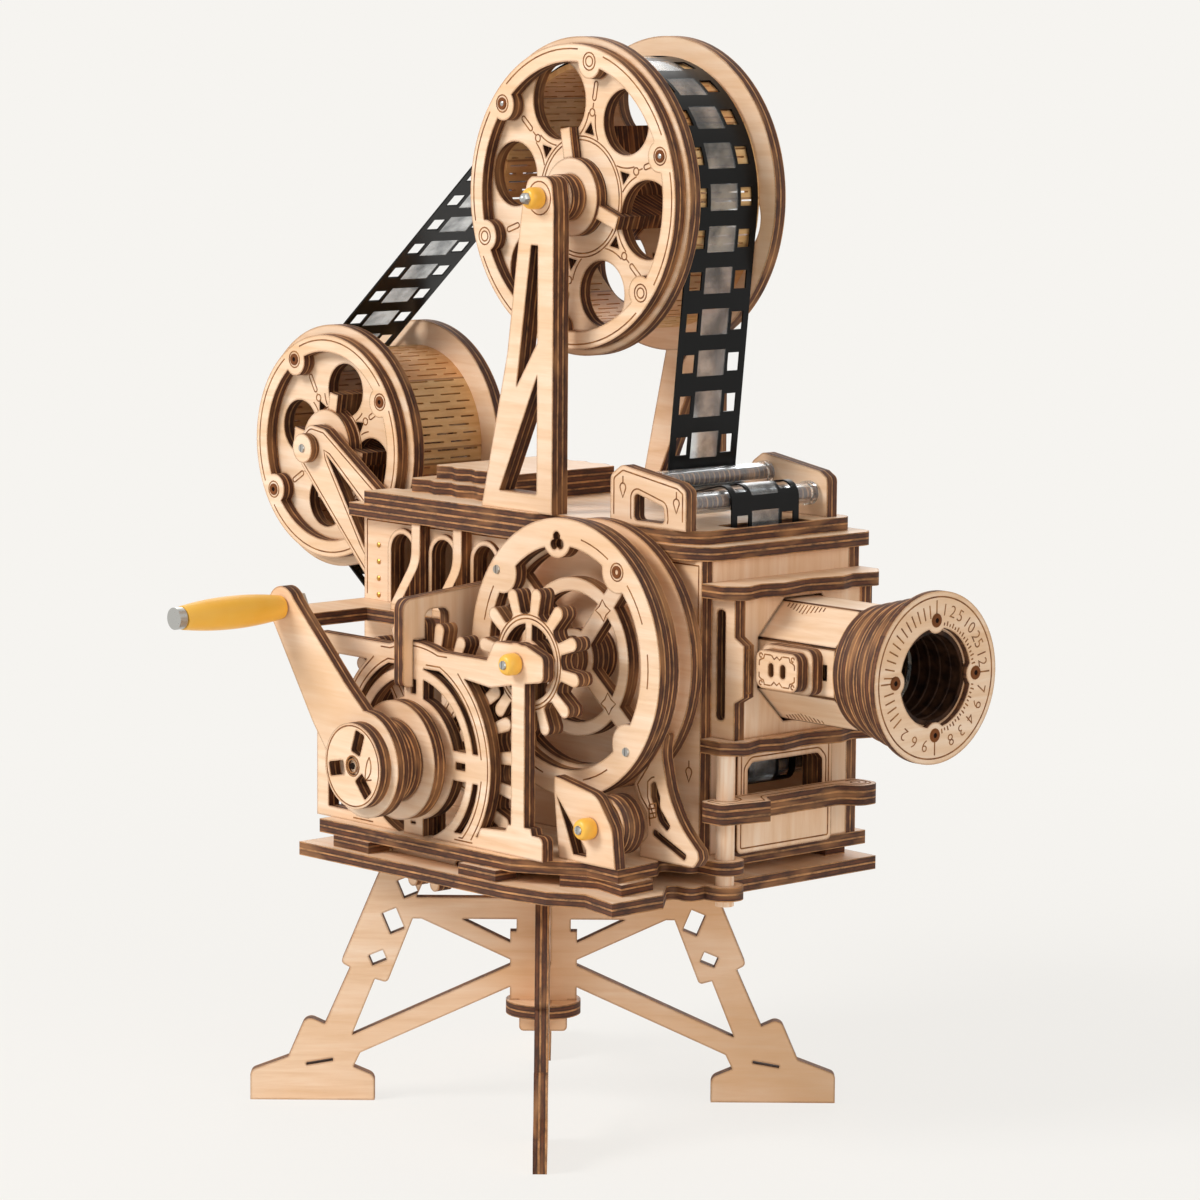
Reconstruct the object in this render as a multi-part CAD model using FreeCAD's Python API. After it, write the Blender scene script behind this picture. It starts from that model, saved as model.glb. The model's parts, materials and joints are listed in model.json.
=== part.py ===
"""Plywood model kit of a hand cranked film projector on a cross-legged stand.

Millimetres. +X is the way the lens points, -Y is the side with the crank, +Z is up.
Places are given from a point near the stand's middle, and the last step moves the origin
under the middle of the whole model. The sheets are cut from one thickness of plywood:
tabs, slots, bores and spacers follow from that thickness and from the named clearances.
"""
import FreeCAD
import Part
import math
import os
import typing

V = FreeCAD.Vector

# Stock and fits
SHEET = 3.0
SLOT_GAP = 0.06
RUN_GAP = 0.06
SIDE_GAP = 0.5
ROD_R = 2.0
CAP_R = 3.4
CAP_LENGTH = 4.5
LUG_WALL = 2.0

# Levels of the body
BASE_Z = 55.1
BASE_GAP = 2.5
WALL_HEIGHT = 63.0
LOWER_BASE_TOP = BASE_Z + SHEET
UPPER_BASE_Z = LOWER_BASE_TOP + BASE_GAP
FLOOR_Z = UPPER_BASE_Z + SHEET
DECK_Z = FLOOR_Z + WALL_HEIGHT
UPPER_DECK_Z = DECK_Z + SHEET
DECK_TOP_Z = UPPER_DECK_Z + SHEET

# Plan of the body
MID_Y = 17.75
BODY_WIDTH = 47.0
BODY_REAR_X = -57.0
BODY_FRONT_X = 54.0
NEAR_Y = MID_Y - BODY_WIDTH / 2
FAR_Y = MID_Y + BODY_WIDTH / 2

# Stack from the near wall out to the crank
WALL_TO_DISC = 2.85
DISC_TO_BUTTRESS = 0.4
GEAR_ROOM = 6.0
GEAR_THICK = 4.0
CRANK_WASHER = 1.5
CRANK_SHEETS = 5
REAR_DISC_Y = NEAR_Y - WALL_TO_DISC - SHEET
BUTTRESS_Y = REAR_DISC_Y - DISC_TO_BUTTRESS - SHEET
SPOKED_Y = BUTTRESS_Y - SIDE_GAP - SHEET
FLYWHEEL_Y = SPOKED_Y - SHEET
GEAR_FRONT_Y = FLYWHEEL_Y - GEAR_ROOM - GEAR_THICK
FRAME_FRONT_Y = GEAR_FRONT_Y - SIDE_GAP - SHEET
CRANK_FRONT_Y = FRAME_FRONT_Y - SIDE_GAP - CRANK_WASHER - CRANK_SHEETS * SHEET

# Base plates
BASE_REAR_EDGE = 0.5
BASE_FRONT_EDGE = 2.5
BASE_FAR_EDGE = 4.05
BASE_PORCH_EDGE = 5.5
BASE_STEP = 2.2
PORCH_REAR_X = -37.5
PORCH_FAR_Y = -14.0
GEAR_SLOT_GAP = 0.8
SPACER_LENGTH = 12.0

# Stand
STAND_X = -1.0
STAND_Y = -0.5
LEG_TURN = 47.7
FOOT_REACH = 65.0
FOOT_LENGTH = 27.6
FOOT_HEIGHT = 6.6
FOOT_TOE = 11.9
COLUMN_HALF = 7.4
KEY_HALF = 5.3
KEY_BOTTOM_Z = 16.0
STAND_DISC_Z = 20.0
STAND_DISC_R = 8.3
BAR_Z = 41.2
BAR_HEIGHT = 4.8
LAP_Z = 31.0
TAB_INNER = 26.2
TAB_OUTER = 33.0
FOOT_INNER = FOOT_REACH - FOOT_LENGTH
LEG_LEAN = (FOOT_REACH - FOOT_TOE - TAB_OUTER) / (BASE_Z - FOOT_HEIGHT)

# Walls
SHELF_RISE = 40.9
ARCH_COUNT = 3
ARCH_FIRST_X = -42.6
ARCH_PITCH = 14.2
ARCH_WIDTH = 7.6
ARCH_HEAD = 3.1
ARCH_RIM = 1.2
ARCH_RIM_THICK = 1.0
CORBEL_REACH = 9.0
CORBEL_NECK = 3.0
PORT_SIZE = 20.0
PORT_RISE = 10.4
SHELF_Z = FLOOR_Z + SHELF_RISE
ARCH_HEIGHT = DECK_Z - SHELF_Z - ARCH_HEAD

# Decks
DECK_EDGE = 3.75
DECK_FAR_EDGE = 2.75
DECK_FRONT_EDGE = 2.0
DECK_REAR_EDGE = 1.0
DECK_STEP = 2.5
DECK_STEP_X = 6.5
ORNAMENT_REAR_X = -46.0
ORNAMENT_FRONT_X = -15.0
ORNAMENT_NEAR_Y = -1.0
ORNAMENT_FAR_Y = 37.0
ORNAMENT_WAVE = 1.6
ORNAMENT_LOBES = 4

# Lens
LENS_DROP = 21.6
BARREL_FLATS = 25.5
BARREL_BORE_R = 10.0
BARREL_LENGTH = 26.0
FOCUS_RANGE = 3.5
RING_LAYERS = 5
RING_FIRST_R = 13.6
RING_LAST_R = 16.6
DIAL_R = 18.1
DIAL_THICK = 1.5
DIAL_SCREW_CIRCLE_R = 11.9
DIAL_SCREW_R = 1.0
GLASS_CURVE_R = 22.0
KNOB_LENGTH = 15.0
KNOB_HEIGHT = 9.7
KNOB_FACE_LENGTH = 12.2
KNOB_FACE_HEIGHT = 8.1
KNOB_SETBACK = 3.7
HOUSING_DEPTH = 6.5
HOUSING_BELOW = 16.0
HOUSING_ABOVE = 14.0
LENS_Z = DECK_Z - LENS_DROP
BARREL_REAR_X = BODY_FRONT_X + SHEET
BARREL_END_X = BARREL_REAR_X + BARREL_LENGTH
DIAL_REAR_X = BARREL_END_X + RING_LAYERS * SHEET
DIAL_FRONT_X = DIAL_REAR_X + DIAL_THICK
HOUSING_FRONT_X = BODY_FRONT_X + HOUSING_DEPTH
HOUSING_HALF = BODY_WIDTH / 2 - 2 * SHEET
HOUSING_LOW_Z = LENS_Z - HOUSING_BELOW
HOUSING_HIGH_Z = LENS_Z + HOUSING_ABOVE

# Front trim
WINDOW_NEAR_Y = 5.4
WINDOW_FAR_Y = 27.8
WINDOW_HEIGHT = 8.7
WINDOW_BORDER = 3.0
RAIL_RISE = 8.4
RAIL_THICK = 4.4
RAIL_END_R = 4.0
DOWEL_REACH = 5.0
DOWEL_INSET = 2.75
DOWEL_TAIL = 1.5
BUTTRESS_HEIGHT = 27.2
BUTTRESS_TOE = 9.6
WINDOW_HIGH_Z = HOUSING_LOW_Z - SHEET - WINDOW_BORDER
WINDOW_LOW_Z = WINDOW_HIGH_Z - WINDOW_HEIGHT
RAIL_Z = FLOOR_Z + RAIL_RISE
DOWEL_X = BODY_FRONT_X + DOWEL_REACH
DOWEL_Y = NEAR_Y + DOWEL_INSET
RAIL_END_Y = FAR_Y - 7.25

# Gears
MODULE = 2.29
PINION_TEETH = 12
CRANK_TEETH = 24
TOOTH_RISE = 2.2
TOOTH_DROP = 3.1
TOOTH_TIP_R = 1.5
TOOTH_NECK = 1.3
VALLEY_DEPTH = 0.5
GEAR_LINE_ANGLE = 36.1
GEAR_DISTANCE = MODULE * (PINION_TEETH + CRANK_TEETH) / 2

# Main shaft and flywheel
SHAFT_X = 28.3
SHAFT_RISE = 41.2
FLYWHEEL_R = 29.8
FLYWHEEL_RIM = 5.9
FLYWHEEL_LUG_CIRCLE_R = 25.8
FLYWHEEL_LUG_R = 4.6
FLYWHEEL_TURN = 5.6
CLOVER_LEAF_R = 1.1
SPOKED_RING_R = 17.0
SPOKED_RING_WIDTH = 3.0
SPOKE_WIDTH = 4.0
SHAFT_SLEEVE_R = 4.5
SHAFT_HUB_R = 6.0
SPROCKET_R = 8.0
SHAFT_Z = FLOOR_Z + SHAFT_RISE

# Crank
CRANK_X = SHAFT_X - GEAR_DISTANCE * math.cos(math.radians(GEAR_LINE_ANGLE))
CRANK_Z = SHAFT_Z - GEAR_DISTANCE * math.sin(math.radians(GEAR_LINE_ANGLE))
CRANK_DISC_R = 9.3
CRANK_SLOT_TURN = 71.5
CRANK_SLOT_CIRCLE_R = 5.4
CRANK_SLOT_LENGTH = 5.0
CRANK_SLOT_WIDTH = 3.1
CRANK_EYE_R = 11.6
CRANK_HUB_R = 9.6
CRANK_COLLAR_R = 13.0
CRANK_ARM_LENGTH = 41.8
CRANK_ARM_ANGLE = 132.0
CRANK_ARM_TIP_R = 4.6
GRIP_LENGTH = 26.7
GRIP_R = 3.6
GRIP_END_R = 2.6
GRIP_BOLT_R = 1.2
GRIP_GAP = 0.4
BOLT_HEAD_R = 2.4
BOLT_HEAD_LENGTH = 1.9
BOLT_HEAD_GAP = 0.3
NUT_R = 3.2
NUT_THICK = 2.2

# Gear frame, in front of the gears
FRAME_HUB_R = 13.5
FRAME_RING_INNER_R = 17.6
FRAME_RING_OUTER_R = 19.8
FRAME_ARCH_INNER_R = 21.5
FRAME_ARCH_OUTER_R = 25.3
FRAME_BAR_WIDTH = 6.4
FRAME_BEAM_HEIGHT = 4.2
FRAME_POST_WIDTH = 4.2
FRAME_FOOT_HEIGHT = 2.4
FRAME_REAR_REACH = 33.0
FRAME_EYE_R = 4.4

# Idler
IDLER_X = 45.5
IDLER_RISE = 7.8
IDLER_WHEEL_R = 6.4
IDLER_PLATE_HEIGHT = 17.4
IDLER_ROOM = 1.5
IDLER_PLATE_Y = FLYWHEEL_Y - 2 * SHEET - IDLER_ROOM
IDLER_Z = FLOOR_Z + IDLER_RISE

# Reels
UPPER_X = 5.0
UPPER_RISE = 68.2
UPPER_FLANGE_R = 34.5
UPPER_DRUM_R = 29.4
UPPER_RING_R = 33.0
UPPER_BOSSES = 6
UPPER_BOSS_TURN = -41.0
UPPER_WINDOW_R = 8.5
UPPER_SMALL_WINDOW_R = 7.1
UPPER_WINDOW_CIRCLE_R = 21.8
UPPER_WINDOW_TURN = -11.0
UPPER_PIERCING_CIRCLE_R = 14.7
UPPER_VANES = 3
UPPER_VANE_TURN = -20.0
UPPER_VANE_REACH = 15.0
LOWER_X = -78.7
LOWER_RISE = 7.4
LOWER_FLANGE_R = 28.0
LOWER_DRUM_R = 22.2
LOWER_RING_R = 25.8
LOWER_BOSSES = 4
LOWER_BOSS_TURN = 31.0
LOWER_WINDOW_R = 6.2
LOWER_WINDOW_CIRCLE_R = 13.5
LOWER_WINDOW_TURN = 75.0
LOWER_PIERCING_CIRCLE_R = 10.0
LOWER_VANES = 4
LOWER_VANE_TURN = -10.0
LOWER_VANE_REACH = 12.5
REEL_INSIDE = 22.3
REEL_RING_WIDTH = 3.9
REEL_BOSS_R = 3.5
REEL_PIERCING_R = 1.75
DRUM_WALL = 1.5
REEL_CORE_R = 4.0
REEL_WASHER_R = 8.5
REEL_SLEEVE_R = 5.0
REEL_CLEARANCE = 1.0
VANE_ROOT = 7.0
VANE_PROUD = 2.4
UPRIGHT_THICK = 4.5
UPRIGHT_ROOM = 4.5
BRACKET_ROOM = 1.6
SUPPORT_GAP = 0.4
AXLE_TAIL = 2.0
UPPER_Z = DECK_TOP_Z + UPPER_RISE
LOWER_Z = DECK_TOP_Z + LOWER_RISE
REEL_NEAR_Y = MID_Y - REEL_INSIDE / 2 - SHEET
REEL_FAR_Y = MID_Y + REEL_INSIDE / 2
UPRIGHT_Y = REEL_NEAR_Y - SHEET - UPRIGHT_ROOM - UPRIGHT_THICK
BRACKET_Y = REEL_NEAR_Y - SHEET - BRACKET_ROOM - SHEET

# Film and its guides
FILM_WIDTH = 20.0
FILM_THICK = 0.5
FILM_LIFT = 0.35
FILM_ROOM = 1.5
GUIDE_R = 2.6
GUIDE_PIN_R = 1.34
GUIDE_REAR_X = 32.0
GUIDE_REAR_RISE = 8.4
GUIDE_FRONT_INSET = 8.5
GUIDE_FRONT_RISE = 5.1
GUIDE_LOWER_RISE = 15.4
GUIDE_BACK_INSET = 6.0
GUIDE_BACK_RISE = 30.9
GUIDE_NEAR_REACH = 21.0
GUIDE_FAR_REACH = 17.0
GATE_THICK = 1.0
GATE_HALF = 14.0
LAMP_SETBACK = 14.0
LAMP_R = 2.5
LAMP_WALL_HALF = 8.0
GUIDE_REAR_Z = DECK_TOP_Z + GUIDE_REAR_RISE
GUIDE_FRONT_X = BODY_FRONT_X - GUIDE_FRONT_INSET
GUIDE_FRONT_Z = DECK_TOP_Z + GUIDE_FRONT_RISE
GUIDE_LOWER_X = GUIDE_FRONT_X
GUIDE_LOWER_Z = FLOOR_Z + GUIDE_LOWER_RISE
GUIDE_BACK_X = BODY_REAR_X + GUIDE_BACK_INSET
GUIDE_BACK_Z = FLOOR_Z + GUIDE_BACK_RISE
FILM_LINE_X = GUIDE_FRONT_X + GUIDE_R + FILM_LIFT + FILM_THICK / 2

# Room for the lower reel in the rear wall and the decks
REEL_ROOM_HALF = REEL_INSIDE / 2 + 2 * SHEET + REEL_CLEARANCE
REEL_ROOM_X = LOWER_X + LOWER_FLANGE_R + REEL_CLEARANCE
REEL_ROOM_Z = LOWER_Z - math.sqrt(LOWER_FLANGE_R ** 2 - (BODY_REAR_X - LOWER_X) ** 2) - REEL_CLEARANCE

# Middle of the whole model
GRIP_REAR_Y = CRANK_FRONT_Y + SHEET - GRIP_GAP
BOLT_FRONT_Y = GRIP_REAR_Y - GRIP_LENGTH - BOLT_HEAD_GAP - BOLT_HEAD_LENGTH
CAP_FRONT_Y = UPRIGHT_Y - SIDE_GAP - CAP_LENGTH
ORIGIN_X = (LOWER_X - LOWER_FLANGE_R + DIAL_FRONT_X) / 2
ORIGIN_Y = (BOLT_FRONT_Y + 2 * MID_Y - CAP_FRONT_Y) / 2

shapes = {}


# Outlines and sheets

def profile(points):
    """Closed wire through (u, v) or (u, v, corner radius) points."""
    count = len(points)
    edges = []
    ends = []
    for i in range(count):
        here = V(points[i][0], points[i][1], 0)
        radius = points[i][2] if len(points[i]) > 2 else 0
        back = V(points[i - 1][0], points[i - 1][1], 0).sub(here)
        ahead = V(points[(i + 1) % count][0], points[(i + 1) % count][1], 0).sub(here)
        turn = back.getAngle(ahead)
        if radius == 0 or turn > math.radians(179):
            ends.append((here, here))
            continue
        run = min(radius / math.tan(turn / 2), 0.49 * back.Length, 0.49 * ahead.Length)
        radius = run * math.tan(turn / 2)
        back.normalize()
        ahead.normalize()
        start = here + back * run
        finish = here + ahead * run
        middle = (back + ahead).normalize()
        bulge = here + middle * (radius / math.sin(turn / 2) - radius)
        edges.append(Part.Arc(start, bulge, finish).toShape())
        ends.append((start, finish))
    for i in range(count):
        start = ends[i][1]
        finish = ends[(i + 1) % count][0]
        if start.distanceToPoint(finish) > 1e-6:
            edges.append(Part.LineSegment(start, finish).toShape())
    return Part.Wire(Part.__sortEdges__(edges))


def around(u, v, points):
    """Points given from (u, v)."""
    return [(u + p[0], v + p[1]) + tuple(p[2:]) for p in points]


def mirrored(points, axis_u=0.0):
    """Outline from one half's points, given upwards on the side of greater u."""
    other = [(2 * axis_u - p[0],) + tuple(p[1:]) for p in reversed(points)]
    return list(points) + other


def flipped(points):
    return [(-p[0],) + tuple(p[1:]) for p in points]


def polar(u, v, radius, degrees):
    turn = math.radians(degrees)
    return (u + radius * math.cos(turn), v + radius * math.sin(turn))


def evenly(count, turn):
    """Angles in degrees, spread evenly from a first one."""
    return [turn + 360.0 / count * k for k in range(count)]


def circle(u, v, radius):
    return Part.Wire([Part.Circle(V(u, v, 0), V(0, 0, 1), radius).toShape()])


def rectangle(u0, v0, u1, v1, radius=0):
    return profile([(u0, v0, radius), (u1, v0, radius), (u1, v1, radius), (u0, v1, radius)])


def turned_rectangle(u, v, width, height, angle, radius=0):
    """Rectangle centred on (u, v) with its width turned by an angle in degrees."""
    c = math.cos(math.radians(angle))
    s = math.sin(math.radians(angle))
    corners = [(-width, -height), (width, -height), (width, height), (-width, height)]
    return profile([(u + (a * c - b * s) / 2, v + (a * s + b * c) / 2, radius) for a, b in corners])


def arch_hole(u, v0, width, height):
    """Window with a half-round top."""
    r = width / 2
    spring = v0 + height - r
    left = V(u - r, v0, 0)
    right = V(u + r, v0, 0)
    return Part.Wire([
        Part.LineSegment(left, right).toShape(),
        Part.LineSegment(right, V(u + r, spring, 0)).toShape(),
        Part.Arc(V(u + r, spring, 0), V(u, spring + r, 0), V(u - r, spring, 0)).toShape(),
        Part.LineSegment(V(u - r, spring, 0), left).toShape(),
    ])


def ring_windows(u, v, inner, outer, count, bar, turn):
    """Windows of a ring, with bars of an even width between them."""
    windows = []
    half = 180.0 / count
    for k in range(count):
        middle = turn + k * 360.0 / count
        outer_half = half - math.degrees(math.asin(bar / 2 / outer))
        inner_half = half - math.degrees(math.asin(bar / 2 / inner))
        outer_arc = [V(*polar(u, v, outer, middle + side * outer_half), 0) for side in (-1, 0, 1)]
        inner_arc = [V(*polar(u, v, inner, middle + side * inner_half), 0) for side in (1, 0, -1)]
        windows.append(Part.Wire([
            Part.Arc(*outer_arc).toShape(),
            Part.LineSegment(outer_arc[2], inner_arc[0]).toShape(),
            Part.Arc(*inner_arc).toShape(),
            Part.LineSegment(inner_arc[2], outer_arc[0]).toShape(),
        ]))
    return windows


def plate(outline, holes=(), thick=SHEET):
    """Sheet in the XY plane, thick upwards from zero."""
    face = Part.Face(outline)
    if holes:
        face = face.cut(Part.makeCompound([Part.Face(hole) for hole in holes]))
    solid = face.extrude(V(0, 0, thick))
    if solid.ShapeType == "Compound" and len(solid.Solids) == 1:
        solid = solid.Solids[0]
    return solid


def lay(solid, z):
    """Place a sheet level, with its lower face at z."""
    solid.translate(V(0, 0, z))
    return solid


def face_side(solid, y, thick=SHEET):
    """Stand a sheet up: u along X, v along Z, and its near face at y."""
    solid.rotate(V(0, 0, 0), V(1, 0, 0), 90)
    solid.translate(V(0, y + thick, 0))
    return solid


def face_front(solid, x):
    """Stand a sheet up: u along Y, v along Z, and its rear face at x."""
    solid.rotate(V(0, 0, 0), V(1, 1, 1), 120)
    solid.translate(V(x, 0, 0))
    return solid


def rod_y(x, z, y0, y1, radius, bore=0):
    solid = Part.makeCylinder(radius, y1 - y0, V(x, y0, z), V(0, 1, 0))
    if bore:
        solid = solid.cut(Part.makeCylinder(bore, y1 - y0, V(x, y0, z), V(0, 1, 0)))
    return solid


def rod_x(x0, x1, radius):
    """Rod on the lens's axis."""
    return Part.makeCylinder(radius, x1 - x0, V(x0, MID_Y, LENS_Z), V(1, 0, 0))


def block(x0, y0, z0, x1, y1, z1):
    return Part.makeBox(x1 - x0, y1 - y0, z1 - z0, V(x0, y0, z0))


def fused(parts):
    solid = parts[0].multiFuse(parts[1:]) if len(parts) > 1 else parts[0]
    return solid.removeSplitter()


def group(parts):
    return Part.makeCompound(parts)


def mirror_y(solid):
    """The same piece on the far side of the body's middle plane."""
    return solid.mirror(V(0, MID_Y, 0), V(0, 1, 0))


def both_sides(solid):
    return group([solid, mirror_y(solid)])


# Stand

def leg(z, out):
    """Distance from the column of a point on the leaning leg, given from its outer line."""
    return TAB_OUTER + LEG_LEAN * (BASE_Z - z) + out


def leg_points(*places):
    """Outline points from (height, distance out of the leg's outer line) and a radius."""
    return [(leg(p[0], p[1]), p[0]) + tuple(p[2:]) for p in places]


def stand_outline():
    """A plank with two legs, lapped at its middle column."""
    column = [
        (KEY_HALF, KEY_BOTTOM_Z, 1.0),
        (KEY_HALF, STAND_DISC_Z + SHEET),
        (COLUMN_HALF, STAND_DISC_Z + SHEET),
        (COLUMN_HALF, STAND_DISC_Z + 5.9),
    ]
    foot = [
        (FOOT_INNER, FOOT_HEIGHT - 1.0, 2.0),
        (FOOT_INNER, 0),
        (FOOT_REACH, 0),
        (FOOT_REACH, FOOT_HEIGHT, 1.5),
        (FOOT_REACH - 8.4, FOOT_HEIGHT + 3.2),
        (FOOT_REACH - 12.4, FOOT_HEIGHT + 12.6, 2.0),
    ]
    tab = [
        (TAB_OUTER, BASE_Z),
        (TAB_OUTER, LOWER_BASE_TOP),
        (TAB_INNER, LOWER_BASE_TOP),
        (TAB_INNER, BASE_Z),
        (TAB_INNER - 2.0, BASE_Z),
        (TAB_INNER + 2.0, BAR_Z + BAR_HEIGHT),
    ]
    heel = leg_points((FOOT_HEIGHT + 4.2, -10.8), (FOOT_HEIGHT + 1.0, -10.6))
    shin = leg_points(
        (FOOT_HEIGHT + 10.7, -0.2), (BAR_Z - 11.1, -0.5), (BAR_Z - 10.0, 2.0, 1.0), (BASE_Z, 2.0))
    return profile(mirrored(column + heel + foot + shin + tab))


def stand_holes():
    """Openings of a plank: truss, brace, three square windows and a slit on each leg."""
    truss = leg_points(
        (BAR_Z, -11.7), (BAR_Z, -9.8), (BAR_Z - 14.5, -10.2, 1.0), (BAR_Z - 13.7, -7.1),
        (FOOT_HEIGHT + 8.2, -7.3))
    truss += [(COLUMN_HALF, LAP_Z - 0.2), (COLUMN_HALF, LAP_Z + 1.1)]
    brace = [
        (TAB_INNER - 8.1, BAR_Z), (COLUMN_HALF - 1.4, BAR_Z), (COLUMN_HALF - 1.4, BAR_Z - 2.7),
        (COLUMN_HALF, BAR_Z - 2.7), (COLUMN_HALF, BAR_Z - 5.2),
    ]
    lean = math.degrees(math.atan(LEG_LEAN))
    windows = ((BAR_Z + 7.1, 4.2), (BAR_Z - 0.6, 5.0), (BAR_Z - 8.9, 2.4))
    holes = [profile(truss), profile(flipped(truss)), profile(brace), profile(flipped(brace))]
    for side in (1, -1):
        for z, height in windows:
            holes.append(turned_rectangle(side * leg(z, -5.7), z, 3.4, height, -side * lean))
        holes.append(turned_rectangle(side * (FOOT_INNER + 12.2), FOOT_HEIGHT + 2.1, 6.0, 0.6, -side * 10.0))
    return holes


def stand_plank(turn, slot_from, slot_to):
    plank = face_side(plate(stand_outline(), stand_holes()), -SHEET / 2)
    half = SHEET / 2 + SLOT_GAP
    plank = plank.cut(block(-half, -SHEET, slot_from, half, SHEET, slot_to))
    return on_stand(plank, turn)


def on_stand(solid, turn):
    solid.rotate(V(0, 0, 0), V(0, 0, 1), turn)
    solid.translate(V(STAND_X, STAND_Y, 0))
    return solid


def stand():
    shapes["stand_frame_left_right"] = stand_plank(LEG_TURN, LAP_Z, BAR_Z + BAR_HEIGHT + SHEET)
    shapes["stand_frame_front_back"] = stand_plank(LEG_TURN + 90, 0, LAP_Z)
    arm = KEY_HALF + SLOT_GAP
    half = SHEET / 2 + SLOT_GAP
    cross = profile([
        (arm, -half), (arm, half), (half, half), (half, arm), (-half, arm), (-half, half),
        (-arm, half), (-arm, -half), (-half, -half), (-half, -arm), (half, -arm), (half, -half),
    ])
    disc = lay(plate(circle(0, 0, STAND_DISC_R), [cross]), STAND_DISC_Z)
    shapes["stand_disc"] = on_stand(disc, LEG_TURN)


def stand_slots():
    """Slots in the lower base plate for the four tabs of the stand."""
    holes = []
    length = TAB_OUTER - TAB_INNER + 2 * SLOT_GAP
    for turn in (LEG_TURN, LEG_TURN + 90, LEG_TURN + 180, LEG_TURN + 270):
        u, v = polar(STAND_X, STAND_Y, (TAB_OUTER + TAB_INNER) / 2, turn)
        holes.append(turned_rectangle(u, v, length, SHEET + 2 * SLOT_GAP, turn))
    return holes


# Base plates

def base_outline(step):
    """Outline of a base plate: a body part, a porch on the near side and a notch between."""
    near_y = FRAME_FRONT_Y - BASE_PORCH_EDGE + step
    far_y = FAR_Y + BASE_FAR_EDGE - step / 2
    rear_x = BODY_REAR_X - BASE_REAR_EDGE + step
    front_x = BODY_FRONT_X + BASE_FRONT_EDGE - step
    corner_x = BODY_FRONT_X + 4.7 - 2.5 * step
    return profile([
        (PORCH_REAR_X + 2 * step, near_y),
        (IDLER_X - 16.5, near_y + 1.5),
        (IDLER_X - 5.0 - 2 * step, near_y + 3.5 + step),
        (IDLER_X + 2.0 - 2 * step, near_y + 8.0 + step),
        (corner_x, near_y + 5.5 + 2 * step),
        (corner_x - step / 2, BUTTRESS_Y - 5.5 + 2 * step),
        (BODY_FRONT_X - 3.5 - step, BUTTRESS_Y + SHEET + 0.4, 1.5),
        (front_x + 1.1, BUTTRESS_Y + SHEET + 0.6 + step, 2.0),
        (front_x, DOWEL_Y + 1.0),
        (front_x, far_y),
        (rear_x, far_y),
        (rear_x, PORCH_FAR_Y),
        (PORCH_REAR_X + 2 * step, PORCH_FAR_Y),
    ])


def gear_slot(top_z):
    """Slot in a base plate for the crank gear's lowest teeth."""
    tip_r = MODULE * CRANK_TEETH / 2 + TOOTH_RISE
    reach = math.sqrt(tip_r ** 2 - (CRANK_Z - top_z) ** 2) + GEAR_SLOT_GAP
    far_y = GEAR_FRONT_Y + GEAR_THICK + GEAR_SLOT_GAP
    return rectangle(CRANK_X - reach, GEAR_FRONT_Y - GEAR_SLOT_GAP, CRANK_X + reach, far_y, 1.0)


def base_plate(step, holes):
    """Base plate with a round-ended lug for the front dowel."""
    lug_r = ROD_R + LUG_WALL
    neck = rectangle(BODY_FRONT_X - lug_r, DOWEL_Y - lug_r, DOWEL_X, DOWEL_Y + lug_r)
    sheet = fused([plate(base_outline(step)), plate(neck), plate(circle(DOWEL_X, DOWEL_Y, lug_r))])
    for hole in holes + [circle(DOWEL_X, DOWEL_Y, ROD_R + SLOT_GAP)]:
        sheet = sheet.cut(plate(hole))
    return sheet


def base_plates():
    shapes["base_plate_lower"] = lay(base_plate(0.0, stand_slots() + [gear_slot(LOWER_BASE_TOP)]), BASE_Z)
    shapes["base_plate_upper"] = lay(base_plate(BASE_STEP, [gear_slot(FLOOR_Z)]), UPPER_BASE_Z)
    porch_y = FRAME_FRONT_Y - 3.5
    rear_x = BODY_REAR_X + 9.0
    places = [
        (rear_x, FAR_Y - 5.0), (BODY_FRONT_X - 16.0, FAR_Y - 5.0), (rear_x, NEAR_Y - 2.25),
        (PORCH_REAR_X + 9.5, porch_y), (SHAFT_X - 14.3, porch_y),
    ]
    blocks = [
        block(x, y, LOWER_BASE_TOP, x + SPACER_LENGTH, y + 2 * SHEET, UPPER_BASE_Z) for x, y in places]
    corner = profile(around(BODY_FRONT_X, BUTTRESS_Y, [
        (-16.0, -16.0), (-8.4, -12.0, 1.5), (1.0, -14.0), (0.0, -4.0), (-7.0, -2.0), (-16.0, -7.0)]))
    shapes["base_spacers"] = group(blocks + [lay(plate(corner, thick=BASE_GAP), LOWER_BASE_TOP)])


# Body walls

def arch_places():
    return [ARCH_FIRST_X + i * ARCH_PITCH for i in range(ARCH_COUNT)]


def side_outline():
    return rectangle(BODY_REAR_X, FLOOR_Z, BODY_FRONT_X, DECK_Z)


def port(x):
    """Square window low in a side wall."""
    low = FLOOR_Z + PORT_RISE
    return rectangle(x, low, x + PORT_SIZE, low + PORT_SIZE, 3.0)


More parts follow.
